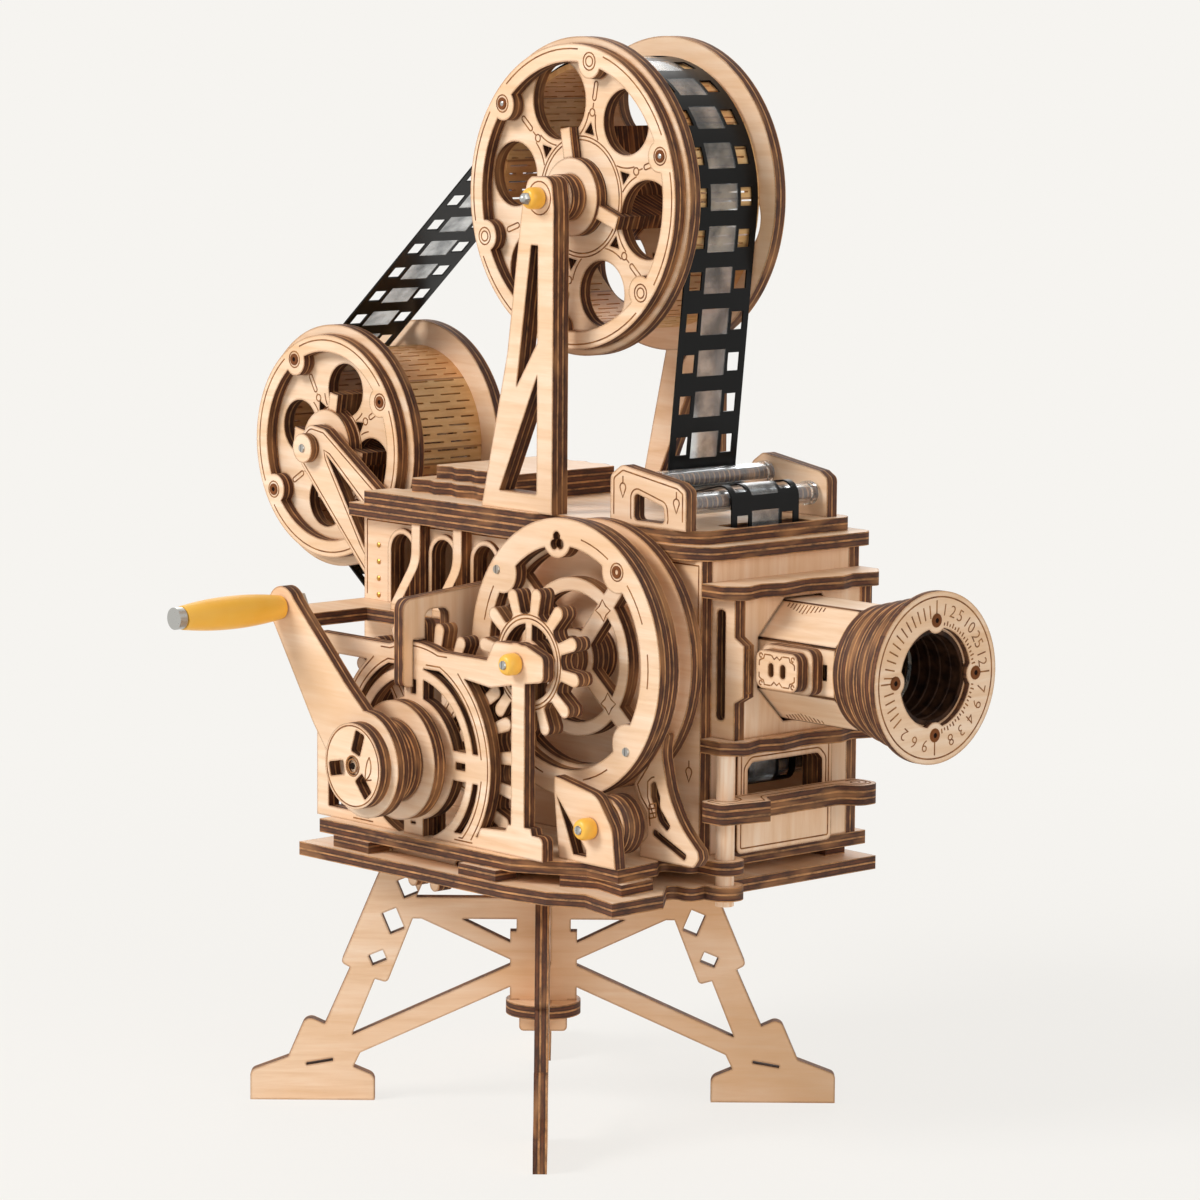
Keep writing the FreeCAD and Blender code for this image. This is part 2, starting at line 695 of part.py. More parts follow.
def walls():
    shaft_hole = circle(SHAFT_X, SHAFT_Z, ROD_R + RUN_GAP)
    crank_hole = circle(CRANK_X, CRANK_Z, ROD_R + RUN_GAP)
    arches = [arch_hole(x, SHELF_Z, ARCH_WIDTH, ARCH_HEIGHT) for x in arch_places()]
    near_port = port(BODY_REAR_X + 7.0)
    near_holes = arches + [near_port, shaft_hole, crank_hole]
    shapes["wall_near"] = face_side(plate(side_outline(), near_holes), NEAR_Y)
    far_ports = [port(BODY_REAR_X + 9.0 + 1.5 * PORT_SIZE * i) for i in range(3)]
    shapes["wall_far"] = face_side(plate(side_outline(), far_ports + [shaft_hole.copy()]), FAR_Y - SHEET)
    near_in = NEAR_Y + SHEET
    far_in = FAR_Y - SHEET
    film_half = FILM_WIDTH / 2 + FILM_ROOM
    film_hole = rectangle(
        MID_Y - film_half, GUIDE_BACK_Z - 6.0, MID_Y + film_half, GUIDE_BACK_Z + 5.0, 1.5)
    rear = profile([
        (near_in, FLOOR_Z), (far_in, FLOOR_Z), (far_in, DECK_Z),
        (MID_Y + REEL_ROOM_HALF, DECK_Z), (MID_Y + REEL_ROOM_HALF, REEL_ROOM_Z, 2.0),
        (MID_Y - REEL_ROOM_HALF, REEL_ROOM_Z, 2.0), (MID_Y - REEL_ROOM_HALF, DECK_Z), (near_in, DECK_Z),
    ])
    shapes["wall_rear"] = face_front(plate(rear, [film_hole]), BODY_REAR_X)
    window = rectangle(WINDOW_NEAR_Y, FLOOR_Z + WINDOW_BORDER, WINDOW_FAR_Y, WINDOW_HIGH_Z, 1.5)
    light_hole = circle(MID_Y, LENS_Z, BARREL_BORE_R + WINDOW_BORDER)
    front = plate(rectangle(near_in, FLOOR_Z, far_in, DECK_Z), [window, light_hole])
    shapes["wall_front"] = face_front(front, BODY_FRONT_X - SHEET)


def wall_trim():
    """Rims round the arches, and corbels between them on the shelf."""
    sill = SHELF_Z + SHEET
    trims = []
    for x in arch_places():
        hole = arch_hole(x, sill, ARCH_WIDTH, ARCH_HEIGHT - SHEET)
        rim = arch_hole(x, sill, ARCH_WIDTH + 2 * ARCH_RIM, ARCH_HEIGHT - SHEET + ARCH_RIM)
        rim = plate(rim, [hole], ARCH_RIM_THICK)
        trims.append(face_side(rim, NEAR_Y - ARCH_RIM_THICK, ARCH_RIM_THICK))
    corbels = []
    for x in arch_places()[:-1]:
        outline = profile([
            (NEAR_Y, sill), (NEAR_Y, DECK_Z), (NEAR_Y - CORBEL_NECK, DECK_Z),
            (NEAR_Y - CORBEL_NECK, DECK_Z - 8.6, 8.0), (NEAR_Y - CORBEL_REACH, sill + 1.5),
            (NEAR_Y - CORBEL_REACH, sill)])
        corbels.append(face_front(plate(outline), x + ARCH_PITCH / 2 - SHEET / 2))
    shapes["arch_corbels"] = group(trims + corbels)


# Decks

def deck_outline(edge_in, nose_x):
    """Deck sheet, cut back beside the flywheel's disc and notched for the lower reel."""
    near_y = NEAR_Y - DECK_EDGE + edge_in / 8
    beside_disc_y = REAR_DISC_Y + SHEET + 2 * SIDE_GAP + edge_in / 3
    far_y = FAR_Y + DECK_FAR_EDGE - edge_in
    rear_x = BODY_REAR_X - DECK_REAR_EDGE + 2 * edge_in
    cut_x = SHAFT_X - math.sqrt(FLYWHEEL_R ** 2 - (SHAFT_Z - DECK_Z) ** 2) - DECK_EDGE
    return profile([
        (rear_x, near_y), (cut_x, near_y, 2.0), (cut_x + DECK_EDGE, beside_disc_y, 2.0),
        (nose_x - 6.0, beside_disc_y, 4.0), (nose_x, beside_disc_y + 3.6, 4.0),
        (nose_x, far_y, 3.0), (rear_x, far_y, 1.0),
        (rear_x, MID_Y + REEL_ROOM_HALF), (REEL_ROOM_X, MID_Y + REEL_ROOM_HALF),
        (REEL_ROOM_X, MID_Y - REEL_ROOM_HALF), (rear_x, MID_Y - REEL_ROOM_HALF),
    ])


def decks():
    film_half = FILM_WIDTH / 2 + FILM_ROOM
    rear_x = FILM_LINE_X - 2 * FILM_ROOM
    front_x = FILM_LINE_X + 2 * FILM_ROOM
    slot = rectangle(rear_x, MID_Y - film_half, front_x, MID_Y + film_half, 1.0)
    nose_x = BODY_FRONT_X + DECK_FRONT_EDGE
    upper_outline = deck_outline(DECK_STEP, nose_x - DECK_STEP_X + DECK_STEP)
    shapes["deck_lower"] = lay(plate(deck_outline(0.0, nose_x), [slot]), DECK_Z)
    shapes["deck_upper"] = lay(plate(upper_outline, [slot.copy()]), UPPER_DECK_Z)


def wavy_outline(rear_x, front_x, near_y, far_y, depth, lobes):
    """Sheet whose near and far edges swell and draw in like a moulding."""
    pitch = (front_x - rear_x) / lobes
    near = []
    far = []
    for i in range(lobes):
        low = rear_x + (i + 0.25) * pitch
        high = rear_x + (i + 0.75) * pitch
        near += [(low, near_y - depth, pitch / 5), (high, near_y, pitch / 5)]
        far += [(low, far_y + depth, pitch / 5), (high, far_y, pitch / 5)]
    ends = [(front_x, near_y, 1.0), (front_x, far_y, 1.0)]
    back = [(rear_x, far_y, 1.0), (rear_x, near_y, 1.0)]
    return profile(near + ends + far[::-1] + back)


def deck_ornaments():
    """Two stepped mouldings on the upper deck, the upper one drawn in all round."""
    steps = []
    for i in range(2):
        inset = 4.0 * i
        near_y = ORNAMENT_NEAR_Y + inset
        far_y = ORNAMENT_FAR_Y - inset
        outline = wavy_outline(
            ORNAMENT_REAR_X + inset, ORNAMENT_FRONT_X, near_y, far_y, ORNAMENT_WAVE, ORNAMENT_LOBES)
        steps.append(lay(plate(outline), DECK_TOP_Z + i * SHEET))
    shapes["deck_ornaments"] = group(steps)


# Lens housing and lens

def octagon(flats):
    corner_r = flats / 2 / math.cos(math.pi / 8)
    return profile([polar(MID_Y, LENS_Z, corner_r, 22.5 + 45 * i) for i in range(8)])


def lens_housing():
    nose = HOUSING_FRONT_X + 0.5
    middle = (HOUSING_LOW_Z + HOUSING_HIGH_Z) / 2
    outline = profile([
        (BODY_FRONT_X, HOUSING_LOW_Z), (nose, HOUSING_LOW_Z), (nose, middle - 7.0),
        (nose + 2.7, middle - 5.5), (nose + 2.7, middle + 5.5), (nose, middle + 7.0),
        (nose, HOUSING_HIGH_Z), (BODY_FRONT_X, HOUSING_HIGH_Z)])
    window = rectangle(
        BODY_FRONT_X + 1.6, HOUSING_LOW_Z + 4.0, HOUSING_FRONT_X - 2.3, HOUSING_HIGH_Z - 2.5, 1.0)
    shapes["housing_sides"] = both_sides(face_side(plate(outline, [window]), MID_Y - HOUSING_HALF - SHEET))
    front = rectangle(MID_Y - HOUSING_HALF, HOUSING_LOW_Z, MID_Y + HOUSING_HALF, HOUSING_HIGH_Z)
    shapes["housing_front"] = face_front(
        plate(front, [octagon(BARREL_FLATS + 2 * SIDE_GAP)]), HOUSING_FRONT_X - SHEET)
    crest = HOUSING_FRONT_X + 3.5
    hollow = HOUSING_FRONT_X + 1.5
    half = [
        (BODY_FRONT_X, NEAR_Y), (BODY_FRONT_X + 6.0, NEAR_Y, 1.0), (crest, NEAR_Y + 4.0, 2.0),
        (hollow, NEAR_Y + 9.75, 2.0), (crest, NEAR_Y + 14.75, 2.0), (hollow, MID_Y - 1.0, 1.0)]
    ledge = half + [(p[0], 2 * MID_Y - p[1]) + tuple(p[2:]) for p in reversed(half)]
    sheets = [lay(plate(profile(ledge)), z) for z in (HOUSING_HIGH_Z, HOUSING_LOW_Z - SHEET)]
    shapes["housing_ledges"] = group(sheets)


def lens():
    bore = circle(MID_Y, LENS_Z, BARREL_BORE_R)
    barrel = plate(octagon(BARREL_FLATS), [bore], BARREL_LENGTH)
    shapes["lens_barrel"] = face_front(barrel, BARREL_REAR_X)
    rings = []
    for i in range(RING_LAYERS):
        radius = RING_FIRST_R + (RING_LAST_R - RING_FIRST_R) * i / (RING_LAYERS - 1)
        start = BARREL_END_X + i * SHEET
        rings.append(rod_x(start, start + SHEET, radius))
    tunnel = rod_x(BARREL_END_X, DIAL_REAR_X, BARREL_BORE_R)
    shapes["lens_rings"] = fused(rings).cut(tunnel)
    screws = [circle(*polar(MID_Y, LENS_Z, DIAL_SCREW_CIRCLE_R, 90 * i), DIAL_SCREW_R) for i in range(4)]
    dial = plate(circle(MID_Y, LENS_Z, DIAL_R), screws + [bore.copy()], DIAL_THICK)
    shapes["lens_dial"] = face_front(dial, DIAL_REAR_X)
    ball = Part.makeSphere(GLASS_CURVE_R, V(BARREL_END_X + SHEET - GLASS_CURVE_R, MID_Y, LENS_Z))
    shapes["lens_glass"] = ball.common(
        rod_x(BARREL_END_X - 2 * SHEET, BARREL_END_X + 2 * SHEET, BARREL_BORE_R - SLOT_GAP))
    focus_knob()


def focus_knob():
    """Two sheets on the barrel's near flat, the front one smaller, with two oval grips."""
    near_flat = MID_Y - BARREL_FLATS / 2
    middle_x = BARREL_END_X - KNOB_SETBACK - KNOB_LENGTH / 2
    sheets = []
    for layer, length, height in ((1, KNOB_LENGTH, KNOB_HEIGHT), (2, KNOB_FACE_LENGTH, KNOB_FACE_HEIGHT)):
        outline = rectangle(
            middle_x - length / 2, LENS_Z - height / 2, middle_x + length / 2, LENS_Z + height / 2, 2.0)
        sheets.append(face_side(plate(outline), near_flat - layer * SHEET))
    knob = fused(sheets)
    for side in (-1, 1):
        x = middle_x + side * KNOB_FACE_LENGTH / 7
        grip = rectangle(x - 0.8, LENS_Z - 1.5, x + 0.8, LENS_Z + 1.5, 0.8)
        knob = knob.cut(face_side(plate(grip), near_flat - 2 * SHEET))
    shapes["focus_knob"] = knob


# Window, handrail, dowel and buttress on the front

def window_frame():
    """Frame round the low window, with two rounded tabs that reach into the opening."""
    low = WINDOW_LOW_Z
    high = WINDOW_HIGH_Z
    middle = (WINDOW_NEAR_Y + WINDOW_FAR_Y) / 2
    near_y = WINDOW_NEAR_Y - WINDOW_BORDER
    far_y = WINDOW_FAR_Y + WINDOW_BORDER
    outer = rectangle(near_y, FLOOR_Z, far_y, high + WINDOW_BORDER, 1.5)
    opening = profile([
        (WINDOW_NEAR_Y, low, 1.0), (middle - 3.4, low, 1.0), (middle - 2.2, low - 2.3, 1.0),
        (middle + 2.2, low - 2.3, 1.0), (middle + 3.4, low, 1.0), (WINDOW_FAR_Y, low, 1.0),
        (WINDOW_FAR_Y, high - 1.4, 1.0), (WINDOW_FAR_Y - 1.4, high, 1.0),
        (WINDOW_NEAR_Y + 1.4, high, 1.0), (WINDOW_NEAR_Y, high - 1.4, 1.0)])
    shapes["window_frame"] = face_front(plate(outer, [opening]), BODY_FRONT_X)


def handrail():
    """Doubled rail across the front, threaded on the dowel, with a round far end."""
    rear_x = BODY_FRONT_X + SHEET
    bar_x = rear_x + DOWEL_REACH
    near_y = DOWEL_Y - RAIL_END_R - LUG_WALL
    rail = profile([
        (rear_x, near_y, 2.0), (bar_x + 2.0, near_y, 2.0), (bar_x + RAIL_END_R + 0.5, DOWEL_Y + 6.0),
        (bar_x, DOWEL_Y + 9.0, 2.0), (bar_x, RAIL_END_Y - 6.0, 2.0),
        (bar_x + RAIL_END_R, RAIL_END_Y - 3.0, 3.0), (bar_x + RAIL_END_R, RAIL_END_Y + 3.0, 3.0),
        (rear_x + 1.0, RAIL_END_Y + 3.0, 3.0), (rear_x, RAIL_END_Y - 6.0)])
    hole = circle(DOWEL_X, DOWEL_Y, ROD_R + SLOT_GAP)
    shapes["handrail"] = lay(plate(rail, [hole], RAIL_THICK), RAIL_Z)
    foot = BASE_Z - DOWEL_TAIL
    length = HOUSING_LOW_Z - SHEET - foot
    shapes["front_dowel"] = Part.makeCylinder(ROD_R, length, V(DOWEL_X, DOWEL_Y, foot))


def buttress():
    """Curved strut at the front corner, standing on the upper base plate."""
    high = BUTTRESS_HEIGHT
    toe = BUTTRESS_TOE
    outline = profile(around(BODY_FRONT_X, FLOOR_Z, [
        (-8.5, 0.0), (toe - 1.6, 0.0, 1.0), (toe, 2.0, 1.0), (toe - 0.4, 3.6), (3.7, 8.4, 20.0),
        (0.0, high - 12.3, 20.0), (-2.0, high - 4.3, 8.0), (-1.2, high, 0.6), (-2.8, high - 0.4),
        (-7.2, high - 7.3), (-10.5, high - 11.6), (-9.0, 12.4), (-6.7, 9.9), (-6.1, 4.9, 2.0), (-8.5, 2.9)]))
    opening = profile(around(BODY_FRONT_X, FLOOR_Z, [
        (-4.0, 17.0, 0.6), (-2.4, 13.6), (-2.4, 11.4, 2.0), (0.9, 7.8, 0.5), (-0.2, 6.6, 0.5),
        (-2.7, 8.4, 1.0), (-5.2, 13.3, 1.0), (-5.2, 16.0)]))
    slit = turned_rectangle(BODY_FRONT_X + 0.6, FLOOR_Z + 3.9, 11.0, 1.5, -23.0, 0.7)
    shapes["buttress"] = face_side(plate(outline, [opening, slit]), BUTTRESS_Y)


# Gears

def gear_outline(teeth, turn):
    """Round-fingered gear: straight flanks to a half-round tip, arcs between the fingers."""
    pitch_r = MODULE * teeth / 2
    tip_centre = pitch_r + TOOTH_RISE - TOOTH_TIP_R
    root = pitch_r - TOOTH_DROP
    step = 2 * math.pi / teeth

    def point(angle, along, across):
        c = math.cos(angle)
        s = math.sin(angle)
        return V(along * c - across * s, along * s + across * c, 0)

    edges = []
    for k in range(teeth):
        a = math.radians(turn) + k * step
        foot0 = point(a, root, -TOOTH_NECK)
        side0 = point(a, tip_centre, -TOOTH_TIP_R)
        tip = point(a, tip_centre + TOOTH_TIP_R, 0)
        side1 = point(a, tip_centre, TOOTH_TIP_R)
        foot1 = point(a, root, TOOTH_NECK)
        valley = point(a + step / 2, root - VALLEY_DEPTH, 0)
        next_foot = point(a + step, root, -TOOTH_NECK)
        edges.append(Part.LineSegment(foot0, side0).toShape())
        edges.append(Part.Arc(side0, tip, side1).toShape())
        edges.append(Part.LineSegment(side1, foot1).toShape())
        edges.append(Part.Arc(foot1, valley, next_foot).toShape())
    return Part.Wire(edges)


def gear(teeth, turn, x, z, windows):
    """Gear in its plane, with a bore for its shaft."""
    outline = gear_outline(teeth, turn)
    outline.translate(V(x, z, 0))
    solid = plate(outline, [circle(x, z, ROD_R)] + windows, GEAR_THICK)
    return face_side(solid, GEAR_FRONT_Y, GEAR_THICK)


# Main shaft and flywheel

def flywheel():
    """Heavy ring with four lugs and a pierced one, a spoked disc behind it, and a plain rear disc."""
    top_turn = FLYWHEEL_TURN + 90
    lug_turns = evenly(4, FLYWHEEL_TURN + 45) + [top_turn]
    places = [polar(SHAFT_X, SHAFT_Z, FLYWHEEL_LUG_CIRCLE_R, turn) for turn in lug_turns]
    lugs = [plate(circle(u, v, FLYWHEEL_LUG_R)) for u, v in places]
    disc = plate(circle(SHAFT_X, SHAFT_Z, FLYWHEEL_R))
    ring = disc.cut(plate(circle(SHAFT_X, SHAFT_Z, FLYWHEEL_R - FLYWHEEL_RIM)))
    front = fused([ring, fused(lugs).common(disc)])
    clover_u, clover_v = polar(SHAFT_X, SHAFT_Z, FLYWHEEL_LUG_CIRCLE_R - CLOVER_LEAF_R, top_turn)
    for turn in evenly(3, top_turn):
        front = front.cut(plate(circle(*polar(clover_u, clover_v, CLOVER_LEAF_R, turn), CLOVER_LEAF_R)))
    shapes["flywheel_ring"] = face_side(front, FLYWHEEL_Y)
    windows = []
    rim_r = FLYWHEEL_R - FLYWHEEL_RIM - 0.9
    for inner, outer in ((SPOKED_RING_R, rim_r), (SHAFT_HUB_R, SPOKED_RING_R - SPOKED_RING_WIDTH)):
        windows += ring_windows(SHAFT_X, SHAFT_Z, inner, outer, 4, SPOKE_WIDTH, FLYWHEEL_TURN)
    bore = circle(SHAFT_X, SHAFT_Z, ROD_R)
    spoked = plate(circle(SHAFT_X, SHAFT_Z, FLYWHEEL_R - 0.6), [bore] + windows)
    shapes["flywheel_spoked"] = face_side(spoked, SPOKED_Y)
    rear = plate(circle(SHAFT_X, SHAFT_Z, FLYWHEEL_R - 0.8), [bore.copy()])
    shapes["flywheel_disc"] = face_side(rear, REAR_DISC_Y)


def main_shaft():
    space_angle = GEAR_LINE_ANGLE + 180 - 180.0 / PINION_TEETH
    windows = ring_windows(SHAFT_X, SHAFT_Z, 4.8, 8.2, 4, 2.0, 45.0)
    shapes["pinion"] = gear(PINION_TEETH, space_angle, SHAFT_X, SHAFT_Z, windows)

    def step(y0, y1, radius):
        return rod_y(SHAFT_X, SHAFT_Z, y0, y1, radius)

    shapes["main_shaft"] = fused([
        step(FRAME_FRONT_Y - SHEET, FAR_Y + SHEET, ROD_R),
        step(GEAR_FRONT_Y + GEAR_THICK, SPOKED_Y, SHAFT_SLEEVE_R),
        step(SPOKED_Y + SHEET, REAR_DISC_Y, SHAFT_HUB_R),
        step(MID_Y - FILM_WIDTH / 2 + 2.0, MID_Y + FILM_WIDTH / 2 - 2.0, SPROCKET_R),
        step(FRAME_FRONT_Y - SIDE_GAP - CAP_LENGTH, FRAME_FRONT_Y - SIDE_GAP, CAP_R),
        step(FAR_Y + SIDE_GAP, FAR_Y + SIDE_GAP + CAP_LENGTH, CAP_R)])


# Gear frame

def frame_ring():
    """Hub, ring and outer arch round the crank's shaft, joined by four slit bars."""
    holes = [circle(CRANK_X, CRANK_Z, ROD_R + RUN_GAP)]
    gaps = ((FRAME_HUB_R, FRAME_RING_INNER_R), (FRAME_RING_OUTER_R, FRAME_ARCH_INNER_R))
    for inner, outer in gaps:
        holes += ring_windows(CRANK_X, CRANK_Z, inner, outer, 4, FRAME_BAR_WIDTH, 45.0)
    slit = FRAME_RING_INNER_R - FRAME_HUB_R - 1.0
    for turn in (0, 90, 180, 270):
        u, v = polar(CRANK_X, CRANK_Z, (FRAME_RING_INNER_R + FRAME_HUB_R) / 2, turn)
        holes.append(turned_rectangle(u, v, slit, FRAME_BAR_WIDTH / 4, turn))
    return plate(circle(CRANK_X, CRANK_Z, FRAME_ARCH_OUTER_R), holes)


def frame_beam():
    """Beam over the crank, from the shaft's eye back to the rear post, under the shelf."""
    rear_x = CRANK_X - FRAME_REAR_REACH
    low = SHELF_Z - FRAME_BEAM_HEIGHT
    eye = plate(circle(SHAFT_X, SHAFT_Z, FRAME_EYE_R))
    beam = plate(profile([
        (rear_x, SHELF_Z), (rear_x, low - SHEET), (rear_x + 4.0, low), (rear_x + 11.6, low),
        (CRANK_X + 10.0, low), (SHAFT_X - 8.0, low - 1.6), (SHAFT_X, low), (SHAFT_X + 8.6, low + 1.4, 1.5),
        (SHAFT_X + 8.6, SHELF_Z + 2.5, 1.5), (SHAFT_X + 3.0, SHELF_Z + 4.4, 2.0),
        (SHAFT_X - 7.0, SHELF_Z + 4.4, 2.0), (SHAFT_X - 9.4, SHELF_Z)]))
    return fused([eye, beam])


def frame_feet():
    """Sill on the base plate with a rear post, a front post and its stepped block."""
    rear_x = CRANK_X - FRAME_REAR_REACH
    post_x = SHAFT_X + 0.7
    half = FRAME_POST_WIDTH / 2
    sill = rectangle(rear_x, FLOOR_Z, post_x + 8.0, FLOOR_Z + FRAME_FOOT_HEIGHT)
    plinth = profile(around(post_x, FLOOR_Z, [
        (-14.0, 0.0), (8.0, 0.0), (8.0, 5.2, 1.5), (4.6, 5.2), (4.2, 6.6), (-3.2, 6.6), (-3.8, 5.2),
        (-11.8, 4.6, 1.0)]))
    post = rectangle(post_x - half, FLOOR_Z, post_x + half, SHELF_Z - FRAME_BEAM_HEIGHT + 1.0)
    rear_post = rectangle(rear_x, FLOOR_Z, rear_x + 4.0, SHELF_Z - FRAME_BEAM_HEIGHT)
    return [plate(outline) for outline in (sill, plinth, post, rear_post)]


def gear_frame():
    below = plate(rectangle(BODY_REAR_X, 0, BODY_FRONT_X, FLOOR_Z))
    frame = fused([frame_ring().cut(below), frame_beam()] + frame_feet())
    for hole in ring_windows(CRANK_X, CRANK_Z, FRAME_HUB_R, FRAME_RING_INNER_R, 4, FRAME_BAR_WIDTH, 45.0):
        frame = frame.cut(plate(hole).cut(below))
    frame = frame.cut(plate(circle(SHAFT_X, SHAFT_Z, ROD_R + RUN_GAP)))
    shapes["gear_frame"] = face_side(frame, FRAME_FRONT_Y)


def shelf_and_bracket():
    """Shelf on the beam, and an upright bracket that locks the beam to the near wall."""
    y = FRAME_FRONT_Y
    lap = y + SHEET + 0.2
    bracket = profile([
        (y - SHEET, SHELF_Z - 8.5, 1.5), (y - 0.2, SHELF_Z - 8.5), (y - 0.2, SHELF_Z + 1.7),
        (lap, SHELF_Z + 1.7), (lap, SHELF_Z + 8.0, 2.0), (lap + 6.8, SHELF_Z + 8.0, 2.0),
        (lap + 6.8, SHELF_Z - 4.5, 2.0), (NEAR_Y, SHELF_Z - 4.5), (NEAR_Y, SHELF_Z + 13.0),
        (y - SHEET, SHELF_Z + 10.5, 2.5)])
    bracket_x = CRANK_X - SHEET
    shapes["gear_frame_bracket"] = face_front(plate(bracket), bracket_x)
    shelf = profile([
        (BODY_REAR_X, NEAR_Y), (BODY_REAR_X, y + 5.0, 3.0), (BODY_REAR_X + 13.0, y - SHEET, 3.0),
        (BODY_REAR_X + 13.0, NEAR_Y - 10.25), (bracket_x, NEAR_Y - 8.25), (bracket_x, NEAR_Y)])
    shapes["shelf"] = lay(plate(shelf), SHELF_Z)


# Crank

def crank_arm_outline(tip_x, tip_z):
    """Tapered arm between the eye on the shaft and the tip round the grip's bolt."""
    waist_x, waist_z = polar(CRANK_X, CRANK_Z, 17.0, CRANK_ARM_ANGLE)
    side_u, side_v = polar(0, 0, 1, CRANK_ARM_ANGLE + 90)

    def offset(x, z, out):
        return (x + side_u * out, z + side_v * out)

    return profile([
        offset(CRANK_X, CRANK_Z, 9.0), offset(CRANK_X, CRANK_Z, -9.0), offset(waist_x, waist_z, -6.5),
        offset(tip_x, tip_z, 0.2 - CRANK_ARM_TIP_R), offset(tip_x, tip_z, CRANK_ARM_TIP_R - 0.2),
        offset(waist_x, waist_z, 8.0)])


def crank_grip(x, z):
    """Turned grip: a long swell between two flat ends, free on its bolt."""
    front_y = GRIP_REAR_Y - GRIP_LENGTH
    inner = GRIP_BOLT_R + RUN_GAP
    belly = Part.Arc(
        V(GRIP_END_R, front_y, 0), V(GRIP_R, front_y + 0.55 * GRIP_LENGTH, 0), V(GRIP_END_R, GRIP_REAR_Y, 0))
    outline = Part.Wire([
        belly.toShape(),
        Part.LineSegment(V(GRIP_END_R, GRIP_REAR_Y, 0), V(inner, GRIP_REAR_Y, 0)).toShape(),
        Part.LineSegment(V(inner, GRIP_REAR_Y, 0), V(inner, front_y, 0)).toShape(),
        Part.LineSegment(V(inner, front_y, 0), V(GRIP_END_R, front_y, 0)).toShape()])
    grip = Part.Face(outline).revolve(V(0, 0, 0), V(0, 1, 0), 360)
    grip.translate(V(x, 0, z))
    shapes["crank_grip"] = grip


def grip_bolt(x, z):
    head_y = GRIP_REAR_Y - GRIP_LENGTH - BOLT_HEAD_GAP
    nut_y = CRANK_FRONT_Y + 2 * SHEET
    bolt = fused([
        rod_y(x, z, head_y - BOLT_HEAD_LENGTH, head_y, BOLT_HEAD_R),
        rod_y(x, z, head_y, nut_y + NUT_THICK, GRIP_BOLT_R)])
    hexagon = profile([polar(x, z, NUT_R, 60 * i) for i in range(6)])
    nut = face_side(plate(hexagon, [circle(x, z, GRIP_BOLT_R)], NUT_THICK), nut_y, NUT_THICK)
    shapes["grip_bolt"] = group([bolt, nut])


def crank():
    windows = ring_windows(CRANK_X, CRANK_Z, 8.0, 19.5, 5, SPOKE_WIDTH, 90.0)
    shapes["crank_gear"] = gear(CRANK_TEETH, GEAR_LINE_ANGLE, CRANK_X, CRANK_Z, windows)
    tip_x, tip_z = polar(CRANK_X, CRANK_Z, CRANK_ARM_LENGTH, CRANK_ARM_ANGLE)
    slots = []
    for turn in evenly(3, CRANK_SLOT_TURN):
        u, v = polar(CRANK_X, CRANK_Z, CRANK_SLOT_CIRCLE_R, turn)
        slots.append(turned_rectangle(u, v, CRANK_SLOT_LENGTH, CRANK_SLOT_WIDTH, turn, 0.5))
    disc = plate(circle(CRANK_X, CRANK_Z, CRANK_DISC_R), slots + [circle(CRANK_X, CRANK_Z, ROD_R)])
    shapes["crank_disc"] = face_side(disc, CRANK_FRONT_Y)
    arm = fused([
        plate(circle(CRANK_X, CRANK_Z, CRANK_EYE_R)),
        plate(crank_arm_outline(tip_x, tip_z)),
        plate(circle(tip_x, tip_z, CRANK_ARM_TIP_R))])
    for hole in (circle(CRANK_X, CRANK_Z, ROD_R), circle(tip_x, tip_z, GRIP_BOLT_R)):
        arm = arm.cut(plate(hole))
    shapes["crank_arm"] = face_side(arm, CRANK_FRONT_Y + SHEET)
    layers = []
    radii = (CRANK_HUB_R, CRANK_HUB_R - 0.6, CRANK_COLLAR_R)
    for i, radius in enumerate(radii, CRANK_SHEETS - len(radii)):
        y = CRANK_FRONT_Y + i * SHEET
        layers.append(rod_y(CRANK_X, CRANK_Z, y, y + SHEET, radius))
    washer_y = CRANK_FRONT_Y + CRANK_SHEETS * SHEET
    layers.append(rod_y(CRANK_X, CRANK_Z, washer_y, washer_y + CRANK_WASHER, SHAFT_HUB_R))
    layers.append(rod_y(CRANK_X, CRANK_Z, CRANK_FRONT_Y + 1.0, NEAR_Y + SHEET, ROD_R))
    shapes["crank_shaft"] = fused(layers)
    crank_grip(tip_x, tip_z)
    grip_bolt(tip_x, tip_z)


# Reels

class Reel(typing.NamedTuple):
    name: str
    x: float
    z: float
    flange_r: float
    drum_r: float
    ring_r: float
    bosses: int
    boss_turn: float
    window_radii: tuple
    window_circle_r: float
    window_turn: float
    piercing_circle_r: float
    vanes: int
    vane_turn: float
    vane_reach: float
    support_y: float
    support_thick: float


UPPER_REEL = Reel(
    "upper_reel", UPPER_X, UPPER_Z, UPPER_FLANGE_R, UPPER_DRUM_R, UPPER_RING_R,
    UPPER_BOSSES, UPPER_BOSS_TURN,
    (UPPER_WINDOW_R, UPPER_SMALL_WINDOW_R), UPPER_WINDOW_CIRCLE_R, UPPER_WINDOW_TURN,
    UPPER_PIERCING_CIRCLE_R,
    UPPER_VANES, UPPER_VANE_TURN, UPPER_VANE_REACH, UPRIGHT_Y, UPRIGHT_THICK)
LOWER_REEL = Reel(
    "lower_reel", LOWER_X, LOWER_Z, LOWER_FLANGE_R, LOWER_DRUM_R, LOWER_RING_R,
    LOWER_BOSSES, LOWER_BOSS_TURN,
    (LOWER_WINDOW_R,), LOWER_WINDOW_CIRCLE_R, LOWER_WINDOW_TURN,
    LOWER_PIERCING_CIRCLE_R,
    LOWER_VANES, LOWER_VANE_TURN, LOWER_VANE_REACH, BRACKET_Y, SHEET)


